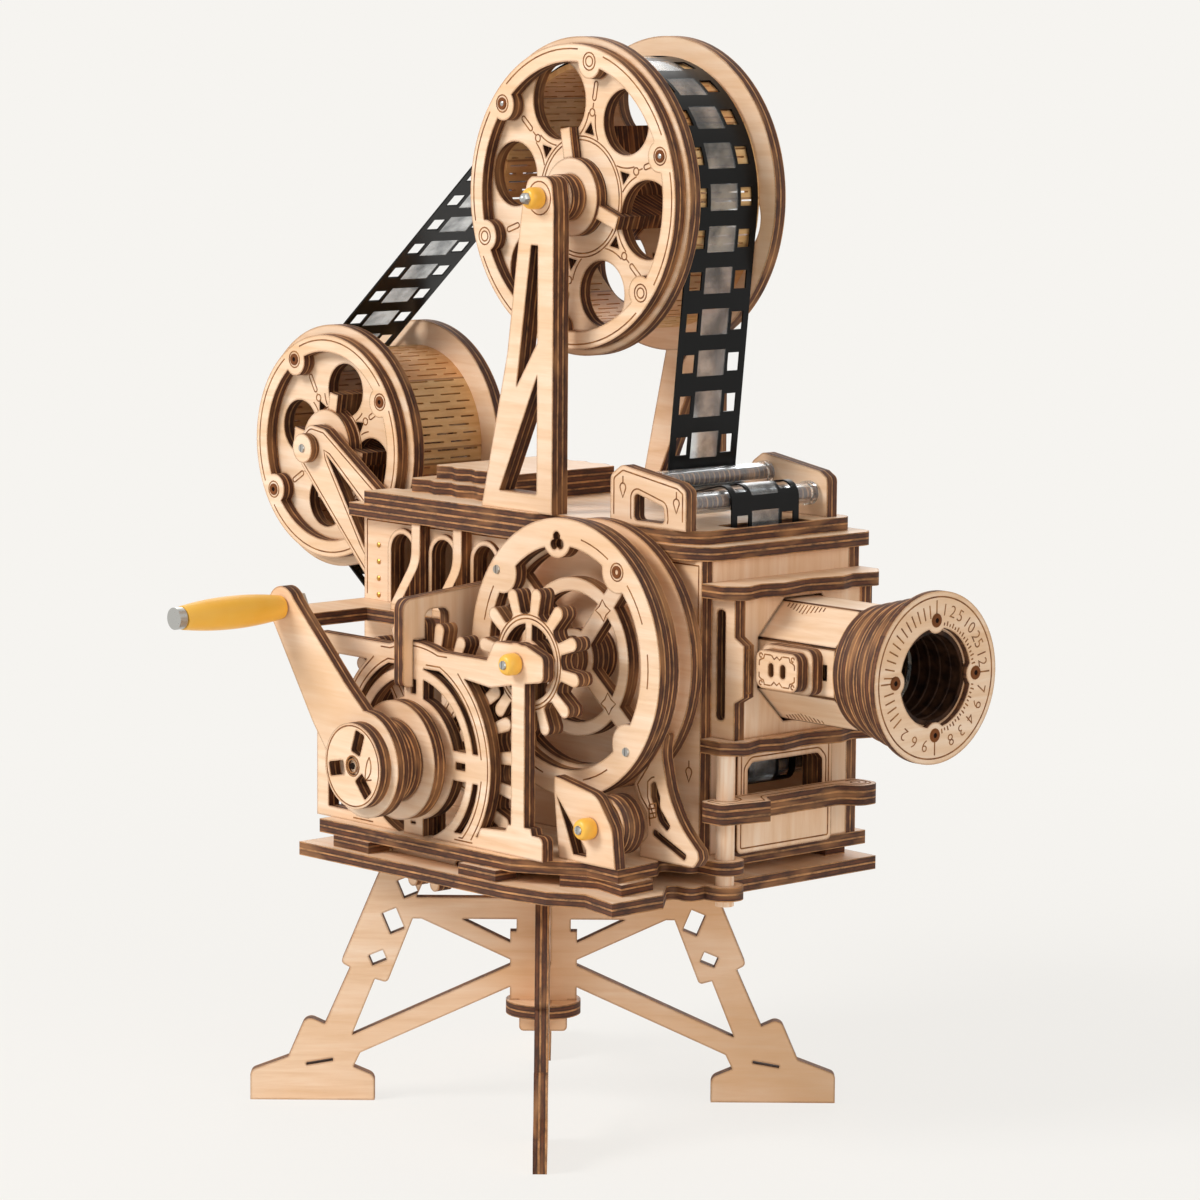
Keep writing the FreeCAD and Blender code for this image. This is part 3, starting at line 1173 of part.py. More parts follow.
def reel_flange(reel):
    """Flange with round windows, a small triangle inside each boss and a slot for each vane."""
    holes = [circle(reel.x, reel.z, ROD_R)]
    for k, turn in enumerate(evenly(reel.bosses, reel.window_turn)):
        radius = reel.window_radii[k % len(reel.window_radii)]
        holes.append(circle(*polar(reel.x, reel.z, reel.window_circle_r, turn), radius))
    for turn in evenly(reel.bosses, reel.boss_turn):
        u, v = polar(reel.x, reel.z, reel.piercing_circle_r, turn)
        holes.append(profile([polar(u, v, REEL_PIERCING_R, corner) for corner in evenly(3, turn)]))
    flange = plate(circle(reel.x, reel.z, reel.flange_r), holes)
    length = reel.vane_reach - VANE_ROOT + 2 * SLOT_GAP
    for turn in evenly(reel.vanes, reel.vane_turn):
        u, v = polar(reel.x, reel.z, (VANE_ROOT + reel.vane_reach) / 2, turn)
        flange = flange.cut(plate(turned_rectangle(u, v, length, SHEET + 2 * SLOT_GAP, turn)))
    return flange


def reel_ring(reel):
    """Raised rim of the near flange, with round bosses on its inner side."""
    rim = plate(circle(reel.x, reel.z, reel.ring_r))
    hole = plate(circle(reel.x, reel.z, reel.ring_r - REEL_RING_WIDTH))
    boss_at = reel.ring_r - REEL_BOSS_R
    places = [polar(reel.x, reel.z, boss_at, turn) for turn in evenly(reel.bosses, reel.boss_turn)]
    bosses = [plate(circle(u, v, REEL_BOSS_R)) for u, v in places]
    return fused([rim.cut(hole)] + bosses)


def reel_vane(reel, turn):
    """Blade from the core through both flanges, standing a little proud of them."""
    near_y = REEL_NEAR_Y - VANE_PROUD
    far_y = REEL_FAR_Y + SHEET + VANE_PROUD
    inside = block(0, REEL_NEAR_Y + SHEET, -SHEET / 2, reel.vane_reach, REEL_FAR_Y, SHEET / 2)
    through = block(VANE_ROOT, near_y, -SHEET / 2, reel.vane_reach, far_y, SHEET / 2)
    vane = inside.fuse(through)
    vane.rotate(V(0, 0, 0), V(0, 1, 0), -turn)
    vane.translate(V(reel.x, 0, reel.z))
    return vane


def reel_axle(reel):
    hub_near = reel.support_y + reel.support_thick + SUPPORT_GAP
    hub_far = 2 * MID_Y - hub_near
    end_near = reel.support_y - AXLE_TAIL

    def step(y0, y1, radius):
        return rod_y(reel.x, reel.z, y0, y1, radius)

    solids = [
        step(end_near, 2 * MID_Y - end_near, ROD_R),
        step(hub_near, REEL_NEAR_Y - SHEET, REEL_SLEEVE_R),
        step(REEL_NEAR_Y - SHEET, REEL_NEAR_Y, REEL_WASHER_R),
        step(REEL_NEAR_Y + SHEET, REEL_FAR_Y, REEL_CORE_R),
        step(REEL_FAR_Y + SHEET, hub_far, REEL_SLEEVE_R)]
    return solids + [reel_vane(reel, turn) for turn in evenly(reel.vanes, reel.vane_turn)]


def reels():
    for reel in (UPPER_REEL, LOWER_REEL):
        flange = reel_flange(reel)
        ring = lay(reel_ring(reel), SHEET)
        shapes[reel.name + "_flange_far"] = face_side(flange.copy(), REEL_FAR_Y)
        shapes[reel.name + "_flange_near"] = face_side(fused([flange, ring]), REEL_NEAR_Y)
        shapes[reel.name + "_drum"] = rod_y(
            reel.x, reel.z, REEL_NEAR_Y + SHEET, REEL_FAR_Y, reel.drum_r, reel.drum_r - DRUM_WALL)
    shapes["upper_reel_axle"] = fused(reel_axle(UPPER_REEL))
    cap = rod_y(UPPER_X, UPPER_Z, CAP_FRONT_Y, CAP_FRONT_Y + CAP_LENGTH, CAP_R).cut(shapes["upper_reel_axle"])
    shapes["upper_reel_caps"] = both_sides(cap)
    head_y = BRACKET_Y - SIDE_GAP
    head = rod_y(LOWER_X, LOWER_Z, head_y - AXLE_TAIL, head_y, CAP_R)
    shapes["lower_reel_axle"] = fused(reel_axle(LOWER_REEL) + [head, mirror_y(head)])


def supports():
    """Uprights of the upper reel and brackets of the lower one, the same on both sides."""
    middle = DECK_TOP_Z + UPPER_RISE / 2
    upright = profile([
        (UPPER_X - 18.5, DECK_TOP_Z), (UPPER_X + 4.6, DECK_TOP_Z), (UPPER_X + 4.6, UPPER_Z - 2.0),
        (UPPER_X + 3.8, UPPER_Z + 4.6, 2.5), (UPPER_X - 3.6, UPPER_Z + 4.6, 2.5),
        (UPPER_X - 5.6, UPPER_Z - 2.0), (UPPER_X - 10.2, middle)])
    low_window = profile([
        (UPPER_X - 12.6, DECK_TOP_Z + 4.0), (UPPER_X - 0.4, DECK_TOP_Z + 4.0, 0.5),
        (UPPER_X - 0.4, middle - 4.1)])
    high_window = profile([
        (UPPER_X - 0.4, middle + 2.9), (UPPER_X - 0.4, UPPER_Z - 10.2), (UPPER_X - 2.6, UPPER_Z - 10.2),
        (UPPER_X - 7.2, middle - 7.1)])
    bore = circle(UPPER_X, UPPER_Z, ROD_R + RUN_GAP)
    near = plate(upright, [low_window, high_window, bore], UPRIGHT_THICK)
    shapes["reel_uprights"] = both_sides(face_side(near, UPRIGHT_Y, UPRIGHT_THICK))
    rear_x = BODY_REAR_X - DECK_REAR_EDGE
    arm = profile([
        (LOWER_X - 3.4, LOWER_Z - 4.2, 3.0), (LOWER_X - 5.2, LOWER_Z + 1.0, 3.0),
        (LOWER_X - 0.5, LOWER_Z + 5.4, 3.0), (LOWER_X + 5.0, LOWER_Z + 4.6, 2.0),
        (BODY_REAR_X + 4.0, UPPER_DECK_Z + 1.4), (BODY_REAR_X + 4.0, UPPER_DECK_Z),
        (rear_x, UPPER_DECK_Z), (rear_x, DECK_Z), (BODY_REAR_X, DECK_Z), (BODY_REAR_X, DECK_Z - 16.0)])
    web = profile([
        (LOWER_X + 5.6, LOWER_Z - 1.0), (rear_x - 1.2, DECK_Z + 1.5), (rear_x - 1.2, DECK_Z - 8.0)])
    bore = circle(LOWER_X, LOWER_Z, ROD_R + RUN_GAP)
    shapes["reel_brackets"] = both_sides(face_side(plate(arm, [web, bore]), BRACKET_Y))


# Film and its guides

def belt_loop(wheels, offset):
    """Closed wire of tangents and arcs round (x, z, radius, turn) wheels, turn +1 clockwise."""
    count = len(wheels)
    tangents = []
    for i in range(count):
        x0, z0, r0, t0 = wheels[i]
        x1, z1, r1, t1 = wheels[(i + 1) % count]
        r0 = t0 * r0 + offset
        r1 = t1 * r1 + offset
        dx = x1 - x0
        dz = z1 - z0
        angle = math.atan2(dz, dx) + math.asin((r1 - r0) / math.hypot(dx, dz))
        nx = -math.sin(angle)
        nz = math.cos(angle)
        tangents.append((V(x0 + r0 * nx, z0 + r0 * nz, 0), V(x1 + r1 * nx, z1 + r1 * nz, 0), angle))
    edges = []
    for i in range(count):
        x, z, radius, turn = wheels[i]
        radius = turn * radius + offset
        arrive = tangents[i - 1]
        leave = tangents[i]
        sweep = (turn * (arrive[2] - leave[2])) % (2 * math.pi)
        middle = arrive[2] - turn * sweep / 2
        bulge = V(x - radius * math.sin(middle), z + radius * math.cos(middle), 0)
        edges.append(Part.Arc(arrive[1], bulge, leave[0]).toShape())
        edges.append(Part.LineSegment(leave[0], leave[1]).toShape())
    return Part.Wire(edges)


def film():
    """The strip's loop over both reels, the guides and the sprocket."""
    lift = FILM_LIFT + FILM_THICK / 2
    wheels = [
        (UPPER_X, UPPER_Z, UPPER_DRUM_R + lift, 1),
        (GUIDE_REAR_X, GUIDE_REAR_Z, GUIDE_R + lift, -1),
        (GUIDE_FRONT_X, GUIDE_FRONT_Z, GUIDE_R + lift, 1),
        (GUIDE_LOWER_X, GUIDE_LOWER_Z, GUIDE_R + lift, 1),
        (SHAFT_X, SHAFT_Z, SPROCKET_R + lift, -1),
        (GUIDE_BACK_X, GUIDE_BACK_Z, GUIDE_R + lift, 1),
        (LOWER_X, LOWER_Z, LOWER_DRUM_R + lift, 1),
    ]
    outer = Part.Face(belt_loop(wheels, FILM_THICK / 2))
    inner = Part.Face(belt_loop(wheels, -FILM_THICK / 2))
    strip = outer.cut(inner).extrude(V(0, 0, FILM_WIDTH)).Solids[0]
    shapes["film_strip"] = face_side(strip, MID_Y - FILM_WIDTH / 2, FILM_WIDTH)


def guides():
    near_y = MID_Y - GUIDE_NEAR_REACH
    far_y = MID_Y + GUIDE_FAR_REACH
    near_in = NEAR_Y + SHEET
    far_in = FAR_Y - SHEET
    bore = GUIDE_PIN_R + RUN_GAP
    deck_guides = (
        ("guide_roller_rear", GUIDE_REAR_X, GUIDE_REAR_Z),
        ("guide_roller_front", GUIDE_FRONT_X, GUIDE_FRONT_Z))
    pins = []
    for name, x, z in deck_guides:
        shapes[name] = rod_y(x, z, near_y, far_y, GUIDE_R, bore)
        pins.append(rod_y(x, z, near_y - SIDE_GAP, far_y + SIDE_GAP, GUIDE_PIN_R))
    shapes["guide_roller_lower"] = rod_y(
        GUIDE_LOWER_X, GUIDE_LOWER_Z, near_in + SIDE_GAP, far_in - SIDE_GAP, GUIDE_R, bore)
    pins.append(rod_y(GUIDE_LOWER_X, GUIDE_LOWER_Z, near_in, far_in, GUIDE_PIN_R))
    pins.append(rod_y(GUIDE_BACK_X, GUIDE_BACK_Z, near_in, far_in, GUIDE_R))
    rear_x = GUIDE_REAR_X - 5.5
    front_x = GUIDE_FRONT_X + 4.5
    high = GUIDE_REAR_Z + 4.2
    outline = profile([
        (rear_x, DECK_TOP_Z), (front_x, DECK_TOP_Z), (front_x, GUIDE_FRONT_Z + 3.4, 1.5),
        (front_x - 2.4, GUIDE_FRONT_Z + 4.8, 2.0), (rear_x + 3.6, high, 2.0), (rear_x, high - 2.4, 2.0)])
    sill = DECK_TOP_Z + 1.1
    window = profile([
        (GUIDE_REAR_X + 2.0, sill, 1.0), (GUIDE_FRONT_X - 2.0, sill, 1.0),
        (GUIDE_FRONT_X - 2.4, GUIDE_FRONT_Z - 0.5, 1.0), (GUIDE_REAR_X + 2.0, GUIDE_REAR_Z - 1.4, 1.0)])
    near = face_side(plate(outline, [window]), near_y - SIDE_GAP - SHEET)
    far = face_side(plate(outline.copy()), far_y + SIDE_GAP)
    shapes["guide_frame"] = group([near, far] + pins)


def gate_and_lamp():
    """Thin gate plates on both sides of the film behind the lens, and the lamp's cross wall."""
    half = FILM_WIDTH / 2 + 2 * FILM_ROOM
    outline = rectangle(MID_Y - half, LENS_Z - GATE_HALF, MID_Y + half, LENS_Z + GATE_HALF, 1.0)
    opening = rectangle(MID_Y - 6.0, LENS_Z - 4.5, MID_Y + 6.0, LENS_Z + 4.5)
    places = (FILM_LINE_X - FILM_THICK - FILM_ROOM, FILM_LINE_X + FILM_THICK)
    plates = [face_front(plate(outline.copy(), [opening.copy()], GATE_THICK), x) for x in places]
    shapes["film_gate"] = group(plates)
    holder_x = BODY_FRONT_X - LAMP_SETBACK
    wall = rectangle(NEAR_Y + SHEET, LENS_Z - LAMP_WALL_HALF, FAR_Y - SHEET, LENS_Z + LAMP_WALL_HALF)
    wall = face_front(plate(wall), holder_x)
    shapes["lamp_holder"] = fused([wall, rod_x(holder_x + SHEET, holder_x + SHEET + 1.8, LAMP_R)])


# Idler beside the flywheel

def idler():
    high = IDLER_PLATE_HEIGHT
    outline = profile(around(IDLER_X, FLOOR_Z, [
        (-10.0, 0.0), (7.5, 0.0), (6.5, IDLER_RISE + 0.6, 5.0), (1.5, high - 2.4, 5.0), (-8.5, high - 0.5),
        (-11.6, high), (-11.6, high - 3.5)]))
    opening = profile(around(IDLER_X, FLOOR_Z, [
        (-10.9, high - 4.0), (-1.5, 2.9), (-1.5, 1.5), (-5.5, 1.5), (-7.5, 6.4)]))
    bore = circle(IDLER_X, IDLER_Z, ROD_R + RUN_GAP)
    shapes["idler_bracket"] = face_side(plate(outline, [opening, bore]), IDLER_PLATE_Y)
    cap_y = IDLER_PLATE_Y - SIDE_GAP
    wheel_y = IDLER_PLATE_Y + SHEET + SIDE_GAP
    wheel_end = wheel_y + 2 * SHEET
    shapes["idler_wheel"] = fused([
        rod_y(IDLER_X, IDLER_Z, wheel_y, wheel_end, IDLER_WHEEL_R),
        rod_y(IDLER_X, IDLER_Z, cap_y - CAP_LENGTH, cap_y, CAP_R),
        rod_y(IDLER_X, IDLER_Z, cap_y, wheel_end + 1.0, ROD_R)])


def main():
    for build in (
            stand, base_plates, walls, wall_trim, decks, deck_ornaments, lens_housing, lens, window_frame,
            handrail, buttress, flywheel, main_shaft, gear_frame, shelf_and_bracket, crank, reels, supports,
            film, guides, gate_and_lamp, idler):
        build()
    os.makedirs("parts", exist_ok=True)
    for name, shape in shapes.items():
        shape.translate(V(-ORIGIN_X, -ORIGIN_Y, 0))
        shape.exportStep("parts/" + name + ".step")


main()
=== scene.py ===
import json
import math

import bmesh
import bpy
import numpy as np
from mathutils import Matrix, Vector

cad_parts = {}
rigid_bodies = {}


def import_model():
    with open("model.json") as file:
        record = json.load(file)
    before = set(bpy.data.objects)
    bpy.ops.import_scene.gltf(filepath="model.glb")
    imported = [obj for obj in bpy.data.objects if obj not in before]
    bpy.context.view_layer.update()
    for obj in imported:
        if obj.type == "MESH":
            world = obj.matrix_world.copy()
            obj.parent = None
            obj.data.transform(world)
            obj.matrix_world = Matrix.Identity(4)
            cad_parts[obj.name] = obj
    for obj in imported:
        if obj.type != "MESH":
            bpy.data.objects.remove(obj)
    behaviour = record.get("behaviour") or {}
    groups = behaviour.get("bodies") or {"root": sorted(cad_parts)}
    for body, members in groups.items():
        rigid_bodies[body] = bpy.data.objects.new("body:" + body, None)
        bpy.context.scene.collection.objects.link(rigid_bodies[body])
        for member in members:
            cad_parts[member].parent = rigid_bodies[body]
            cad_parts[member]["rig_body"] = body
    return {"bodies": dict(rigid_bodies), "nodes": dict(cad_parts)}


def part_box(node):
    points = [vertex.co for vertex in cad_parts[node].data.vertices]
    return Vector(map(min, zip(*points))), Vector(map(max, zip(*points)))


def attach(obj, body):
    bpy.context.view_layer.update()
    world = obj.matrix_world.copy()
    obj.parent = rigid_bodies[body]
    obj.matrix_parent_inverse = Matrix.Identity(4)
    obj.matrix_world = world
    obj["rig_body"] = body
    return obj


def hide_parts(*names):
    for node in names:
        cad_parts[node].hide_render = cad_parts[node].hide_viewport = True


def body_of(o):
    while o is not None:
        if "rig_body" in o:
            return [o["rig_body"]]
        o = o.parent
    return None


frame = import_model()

bl_info = {
    "name": "Plywood projector kit",
    "version": (1, 0, 0),
    "blender": (4, 5, 0),
    "location": "3D View > Sidebar > Projector",
    "description": "Builds the looks of a laser cut plywood film projector on its CAD frame",
    "category": "Add Mesh",
}

MM = 0.001
NODES = frame["nodes"]
BODIES = frame["bodies"]
BODY_OF = {node: body_of(obj)[0] for node, obj in NODES.items()}


# Colours and nodes

def linear(code):
    """Linear colour from an sRGB hex code."""
    channels = [int(code[i:i + 2], 16) / 255 for i in (1, 3, 5)]
    return tuple(c / 12.92 if c <= 0.04045 else ((c + 0.055) / 1.055) ** 2.4 for c in channels) + (1.0,)


def add(tree, kind, inputs=(), give=0, stops=(), **fields):
    """Add a node, set its fields and ramp stops, fill or link its inputs, and give back one output or the node."""
    node = tree.nodes.new("ShaderNode" + kind if tree.type == "SHADER" else kind)
    for field, value in fields.items():
        setattr(node, field, value)
    for key, value in inputs.items() if isinstance(inputs, dict) else enumerate(inputs):
        if isinstance(value, bpy.types.NodeSocket):
            tree.links.new(value, node.inputs[key])
        else:
            node.inputs[key].default_value = value
    if stops:
        elements = node.color_ramp.elements
        while len(elements) < len(stops):
            elements.new(0.5)
        for element, (position, colour) in zip(elements, stops):
            element.position, element.color = position, colour
    return node if give is None or not node.outputs else node.outputs[give]


# Materials

SHEET = 3.0


def new_material(name):
    """Material with an empty tree."""
    mat = bpy.data.materials.new(name)
    mat.use_nodes = True
    mat.node_tree.nodes.clear()
    return mat, mat.node_tree


def object_mm(tree):
    """Object coordinates in mm."""
    place = add(tree, "TexCoord", give="Object")
    return add(tree, "VectorMath", {0: place, "Scale": 1 / MM}, operation="SCALE")


def birch(tree, looks, grain, is_face, depth, tones):
    """Birch plywood: pale figured faces, and on the cut edges plies that the laser scorched.

    grain runs along, across and through the sheet, and depth through its plies, both in mm."""
    def streaks(scales, spread=(), **settings):
        """Noise drawn out along the grain, in streaks per mm, and its spread if only a part of it counts."""
        drawn = add(tree, "VectorMath", (grain, scales), operation="MULTIPLY")
        noise = add(tree, "TexNoise", {"Vector": drawn, "Scale": 1.0, **settings}, "Fac")
        return add(tree, "MapRange", (noise, *spread)) if spread else noise

    def smoke(start, end, most):
        """Smoke beside a cut, where the rounded normal leaves the true one."""
        near = add(tree, "MapRange", (agree, start, end, 0.0, most))
        return add(tree, "Math", (near, patchy), operation="MULTIPLY")

    def laid(base, *layers):
        """Layers of (share, colour) laid over a base colour in order."""
        for share, colour in layers:
            base = add(tree, "Mix", {0: share, 6: base, 7: colour}, 2, data_type="RGBA")
        return base

    rounded = add(tree, "Bevel", {"Radius": looks.singe_reach}, samples=4)
    true = add(tree, "NewGeometry", give="True Normal")
    agree = add(tree, "VectorMath", (rounded, true), "Value", operation="DOT_PRODUCT")
    patchy = streaks((0.12, 0.12, 0.12), (0.3, 0.7, 0.5, 1.0), Detail=3.0)
    figure = streaks((0.035, 0.42, 0.05), Detail=6.0, Roughness=0.6, Distortion=0.4)
    face = laid(
        add(tree, "ValToRGB", (figure,), stops=list(zip((0.25, 0.5, 0.72), tones))),
        (streaks((0.3, 5.0, 0.4), (0.62, 0.78, 0.0, 0.3), Detail=3.0, Roughness=0.7), looks.pore),
        (streaks((0.012, 0.03, 0.02), (0.35, 0.7, 0.0, 0.45), Detail=2.0), looks.face_warm),
        (streaks((0.022, 0.06, 0.05), (0.48, 0.72, 0.0, 0.6), Detail=4.0, Roughness=0.55), looks.stain),
        (smoke(0.9995, 0.955, 0.8), looks.toast),
        (smoke(0.97, 0.82, 1.0), looks.singe))

    sheets = add(tree, "Math", (depth, SHEET), operation="DIVIDE")
    ply = add(tree, "Math", (sheets,), operation="FRACT")
    wobble = streaks((0.05, 0.05, 0.9), (0.0, 1.0, -0.065, 0.065), Detail=4.0, Roughness=0.7)
    pale, mid, dark = looks.edge_pale, looks.edge_mid, looks.edge_dark
    places = (0.0, 0.05, 0.1, 0.2, 0.34, 0.42, 0.46, 0.55, 0.6, 0.7, 0.84, 0.9, 0.95, 1.0)
    plies = (pale, pale, dark, mid, mid, dark) * 2 + (pale, pale)
    edge = laid(
        add(tree, "ValToRGB", (add(tree, "Math", (ply, wobble), operation="ADD"),), stops=list(zip(places, plies))),
        (streaks((0.22, 0.22, 0.7), (0.38, 0.66, 0.0, 0.85), Detail=5.0, Roughness=0.75), dark),
        (streaks((0.07, 0.07, 0.3), (0.52, 0.74, 0.0, 0.5), Detail=2.0), pale))

    shader = add(tree, "BsdfPrincipled", {
        "Base Color": laid(edge, (is_face, face)),
        "Roughness": add(tree, "MapRange", (is_face, 0.0, 1.0, 0.72, 0.5)),
        "Normal": add(tree, "Bump", {"Height": figure, "Distance": 0.05 * MM, "Strength": 0.35})})
    add(tree, "OutputMaterial", (shader,))


def plywood(name, out, along, looks, tones):
    """Laser cut sheet of the CAD: its faces are told from its cut edges by the way each looks."""
    mat, tree = new_material(name)
    out, along = Vector(out).normalized(), Vector(along).normalized()
    point, look = object_mm(tree), add(tree, "TexCoord", give="Normal")
    u, v, w, facing = (
        add(tree, "VectorMath", pair, "Value", operation="DOT_PRODUCT")
        for pair in ((point, along), (point, out.cross(along)), (point, out), (look, out)))
    facing = add(tree, "Math", (facing,), operation="ABSOLUTE")
    is_face = add(tree, "Math", (facing, 0.75), operation="GREATER_THAN")
    start = add(tree, "Attribute", give="Fac", attribute_type="OBJECT", attribute_name="ply_start")
    depth = add(tree, "Math", (w, start), operation="SUBTRACT")
    birch(tree, looks, add(tree, "CombineXYZ", (u, v, w)), is_face, depth, tones)
    return mat


def panel_wood(name, looks, tones):
    """Sheet of a panel at its own slant: grain and cut edges come from the panel's UV map and faces."""
    mat, tree = new_material(name)
    flat = add(tree, "UVMap", uv_map="grain")
    cut, seed = (add(tree, "Attribute", give="Fac", attribute_type="GEOMETRY", attribute_name=mark)
                 for mark in ("cut", "sheet"))
    is_face = add(tree, "Math", (cut, 0.5), operation="LESS_THAN")
    grain = add(tree, "VectorMath", (seed, (0.0, 0.0, 40.0), flat), operation="MULTIPLY_ADD")
    birch(tree, looks, grain, is_face, add(tree, "SeparateXYZ", (flat,), "Y"), tones)
    return mat


def slit_veneer(name, looks):
    """Thin veneer bent into a drum: honey coloured, in broad panels of two tones, with fine streaks."""
    mat, tree = new_material(name)
    flat = add(tree, "UVMap", uv_map="grain")
    drawn = add(tree, "VectorMath", (flat, (0.5, 0.06, 0.0)), operation="MULTIPLY")
    figure = add(tree, "TexNoise", {"Vector": drawn, "Scale": 1.0, "Detail": 5.0, "Roughness": 0.65}, "Fac")
    wood = add(tree, "ValToRGB", (figure,), stops=(
        (0.3, looks.honey_dark), (0.55, looks.honey), (0.75, looks.honey_pale)))
    u = add(tree, "SeparateXYZ", (flat,), "X")
    panel, seam = (
        add(tree, "Math", (add(tree, "Math", (u, wide), operation="DIVIDE"),), operation="FRACT")
        for wide in (34.0, 17.0))
    second = add(tree, "Math", (panel, 0.5), operation="GREATER_THAN")
    wood = add(tree, "Mix", {0: second, 6: wood, 7: looks.honey_pink}, 2, data_type="RGBA", blend_type="MULTIPLY")
    seam = add(tree, "Math", (seam, 0.03), operation="LESS_THAN")
    seam = add(tree, "Math", (seam, 0.6), operation="MULTIPLY")
    wood = add(tree, "Mix", {0: seam, 6: wood, 7: looks.singe}, 2, data_type="RGBA")
    add(tree, "OutputMaterial", (add(tree, "BsdfPrincipled", {"Base Color": wood, "Roughness": 0.5}),))
    return mat


def finish(name, tones, rough, inputs=(), drift=(0.12, 2.0), uneven=(0.5, 3.0), stretch=(1.0, 1.0, 1.0)):
    """Finish other than sheet wood: its colour may drift and its gloss be uneven, in soft patches.

    tones is one colour or ramp stops, and rough one number or (from, to, least, most). drift and uneven are
    (patches per mm, detail) of the two, and stretch draws the patches out."""
    mat, tree = new_material(name)
    point = add(tree, "Mapping", {"Vector": object_mm(tree), "Scale": stretch})
    if isinstance(tones[0], tuple):
        patches = add(tree, "TexNoise", {"Vector": point, "Scale": drift[0], "Detail": drift[1]}, "Fac")
        tones = add(tree, "ValToRGB", (patches,), stops=tones)
    if isinstance(rough, tuple):
        patches = add(tree, "TexNoise", {"Vector": point, "Scale": uneven[0], "Detail": uneven[1]}, "Fac")
        rough = add(tree, "MapRange", (patches, *rough))
    shader = add(tree, "BsdfPrincipled", {"Base Color": tones, "Roughness": rough, **dict(inputs)})
    add(tree, "OutputMaterial", (shader,))
    return mat


def build_materials(looks):
    tones = (looks.face_dark, looks.face, looks.face_pale)
    turn = Vector((math.cos(looks.leg_turn), math.sin(looks.leg_turn), 0.0))
    beside = Vector((-turn.y, turn.x, 0.0))
    dowel = ((0.3, looks.face_warm), (0.6, looks.face_pale))
    sheen = "Specular IOR Level"
    return {
        # birch plywood, laser cut: pale figured faces, browned edges with thin pale plies
        "level": plywood("birch_sheet_level", (0, 0, 1), (1, 0, 0), looks, tones),
        "side": plywood("birch_sheet_upright", (0, 1, 0), (1, 0, 0), looks, tones),
        "front": plywood("birch_sheet_cross", (1, 0, 0), (0, 0, 1), looks, tones),
        "leg_a": plywood("birch_sheet_leg_a", beside, turn, looks, tones),
        "leg_b": plywood("birch_sheet_leg_b", -turn, beside, looks, tones),
        "panel": panel_wood("birch_panel", looks, tones),
        # birch veneer with its slits: honey coloured and glossier than a sheet
        "honey": slit_veneer("honey_veneer_slit", looks),
        # line burnt by the laser: golden to dark brown, dull, scorched unevenly
        "line": finish("laser_burnt_line", ((0.35, looks.line_dark), (0.65, looks.line_pale)), 0.85, drift=(0.5, 3.0)),
        # scorched rim of a drilled boss: brown and dry
        "burnt": finish("scorched_eyelet", ((0.3, looks.burnt), (0.7, looks.singe)), (0.0, 1.0, 0.64, 0.78),
                        {sheen: 0.2}),
        # turned birch dowels: pale, with long streaks along the stick
        "stick": finish("birch_dowel_upright", dowel, 0.6, drift=(1.0, 5.0), stretch=(0.9, 0.9, 0.06)),
        "rod": finish("birch_dowel_cross", dowel, 0.6, drift=(1.0, 5.0), stretch=(0.9, 0.06, 0.9)),
        # moulded ABS: warm yellow, nearly even, with a soft sheen
        "yellow": finish("yellow_moulded_plastic", ((0.3, looks.yellow), (0.7, looks.yellow_pale)),
                         (0.0, 1.0, 0.29, 0.43)),
        # polyester film base: black with a low even gloss
        "black": finish("black_film_base", ((0.3, looks.black), (0.7, looks.black_pale)), (0.0, 1.0, 0.24, 0.38),
                        {sheen: 0.16}),
        # clear film, printed grey: cloudy in soft patches, light comes through
        "frame": finish("film_frame_grey", ((0.35, looks.frame_dark), (0.62, looks.frame_pale)), 0.12,
                        {"Transmission Weight": 0.85, "IOR": 1.4}, drift=(0.16, 3.0)),
        # painted shade in the lens bore: a near black brown tube where the bore lies in shade, with a low sheen
        "bore_shade": finish("painted_bore_shade", ((0.35, looks.hole), (0.7, looks.bore_shade_pale)), 0.5, {sheen: 0.15},
                            drift=(0.4, 4.0)),
        # painted shade of a small hole: a dark, matt disc standing for its shaded inside
        "hole": finish("painted_hole_shade", looks.hole, (0.0, 1.0, 0.74, 0.88), {sheen: 0.1}),
        # zinc plated steel and brass, turned: bright, with faint uneven wear
        "steel": finish("zinc_plated_steel", looks.steel, (0.0, 1.0, 0.2, 0.4), {"Metallic": 1.0}, uneven=(2.5, 4.0)),
        "brass": finish("brass_pin", looks.brass, (0.0, 1.0, 0.22, 0.42), {"Metallic": 1.0}, uneven=(2.5, 4.0)),
        # ground glass lens and drawn acrylic tube: clear, the tube a little milky
        "glass": finish("lens_glass_clear", looks.glass, (0.2, 0.8, 0.02, 0.08),
                        {"Transmission Weight": 1.0, "IOR": 1.46}, uneven=(0.3, 3.0)),
        "tube": finish("acrylic_tube_clear", looks.acrylic, (0.2, 0.8, 0.03, 0.09),
                       {"Transmission Weight": 0.94, "IOR": 1.46}, uneven=(0.3, 3.0)),
    }


MATERIALS = {}
SHEET_AXIS = {"level": 2, "side": 1, "front": 0}
DRESSED = {
    "level": ("base_plate_lower", "base_plate_upper", "base_spacers", "deck_lower", "deck_upper", "deck_ornaments",
              "shelf", "stand_disc", "handrail", "housing_ledges"),
    "front": ("wall_front", "wall_rear", "window_frame", "housing_front", "gear_frame_bracket", "lens_rings",
              "film_gate", "lamp_holder"),
    "leg_a": ("stand_frame_left_right",),
    "leg_b": ("stand_frame_front_back",),
    "stick": ("front_dowel",),
    "yellow": ("crank_grip",),
    "steel": ("grip_bolt",),
    "glass": ("lens_glass",),
}


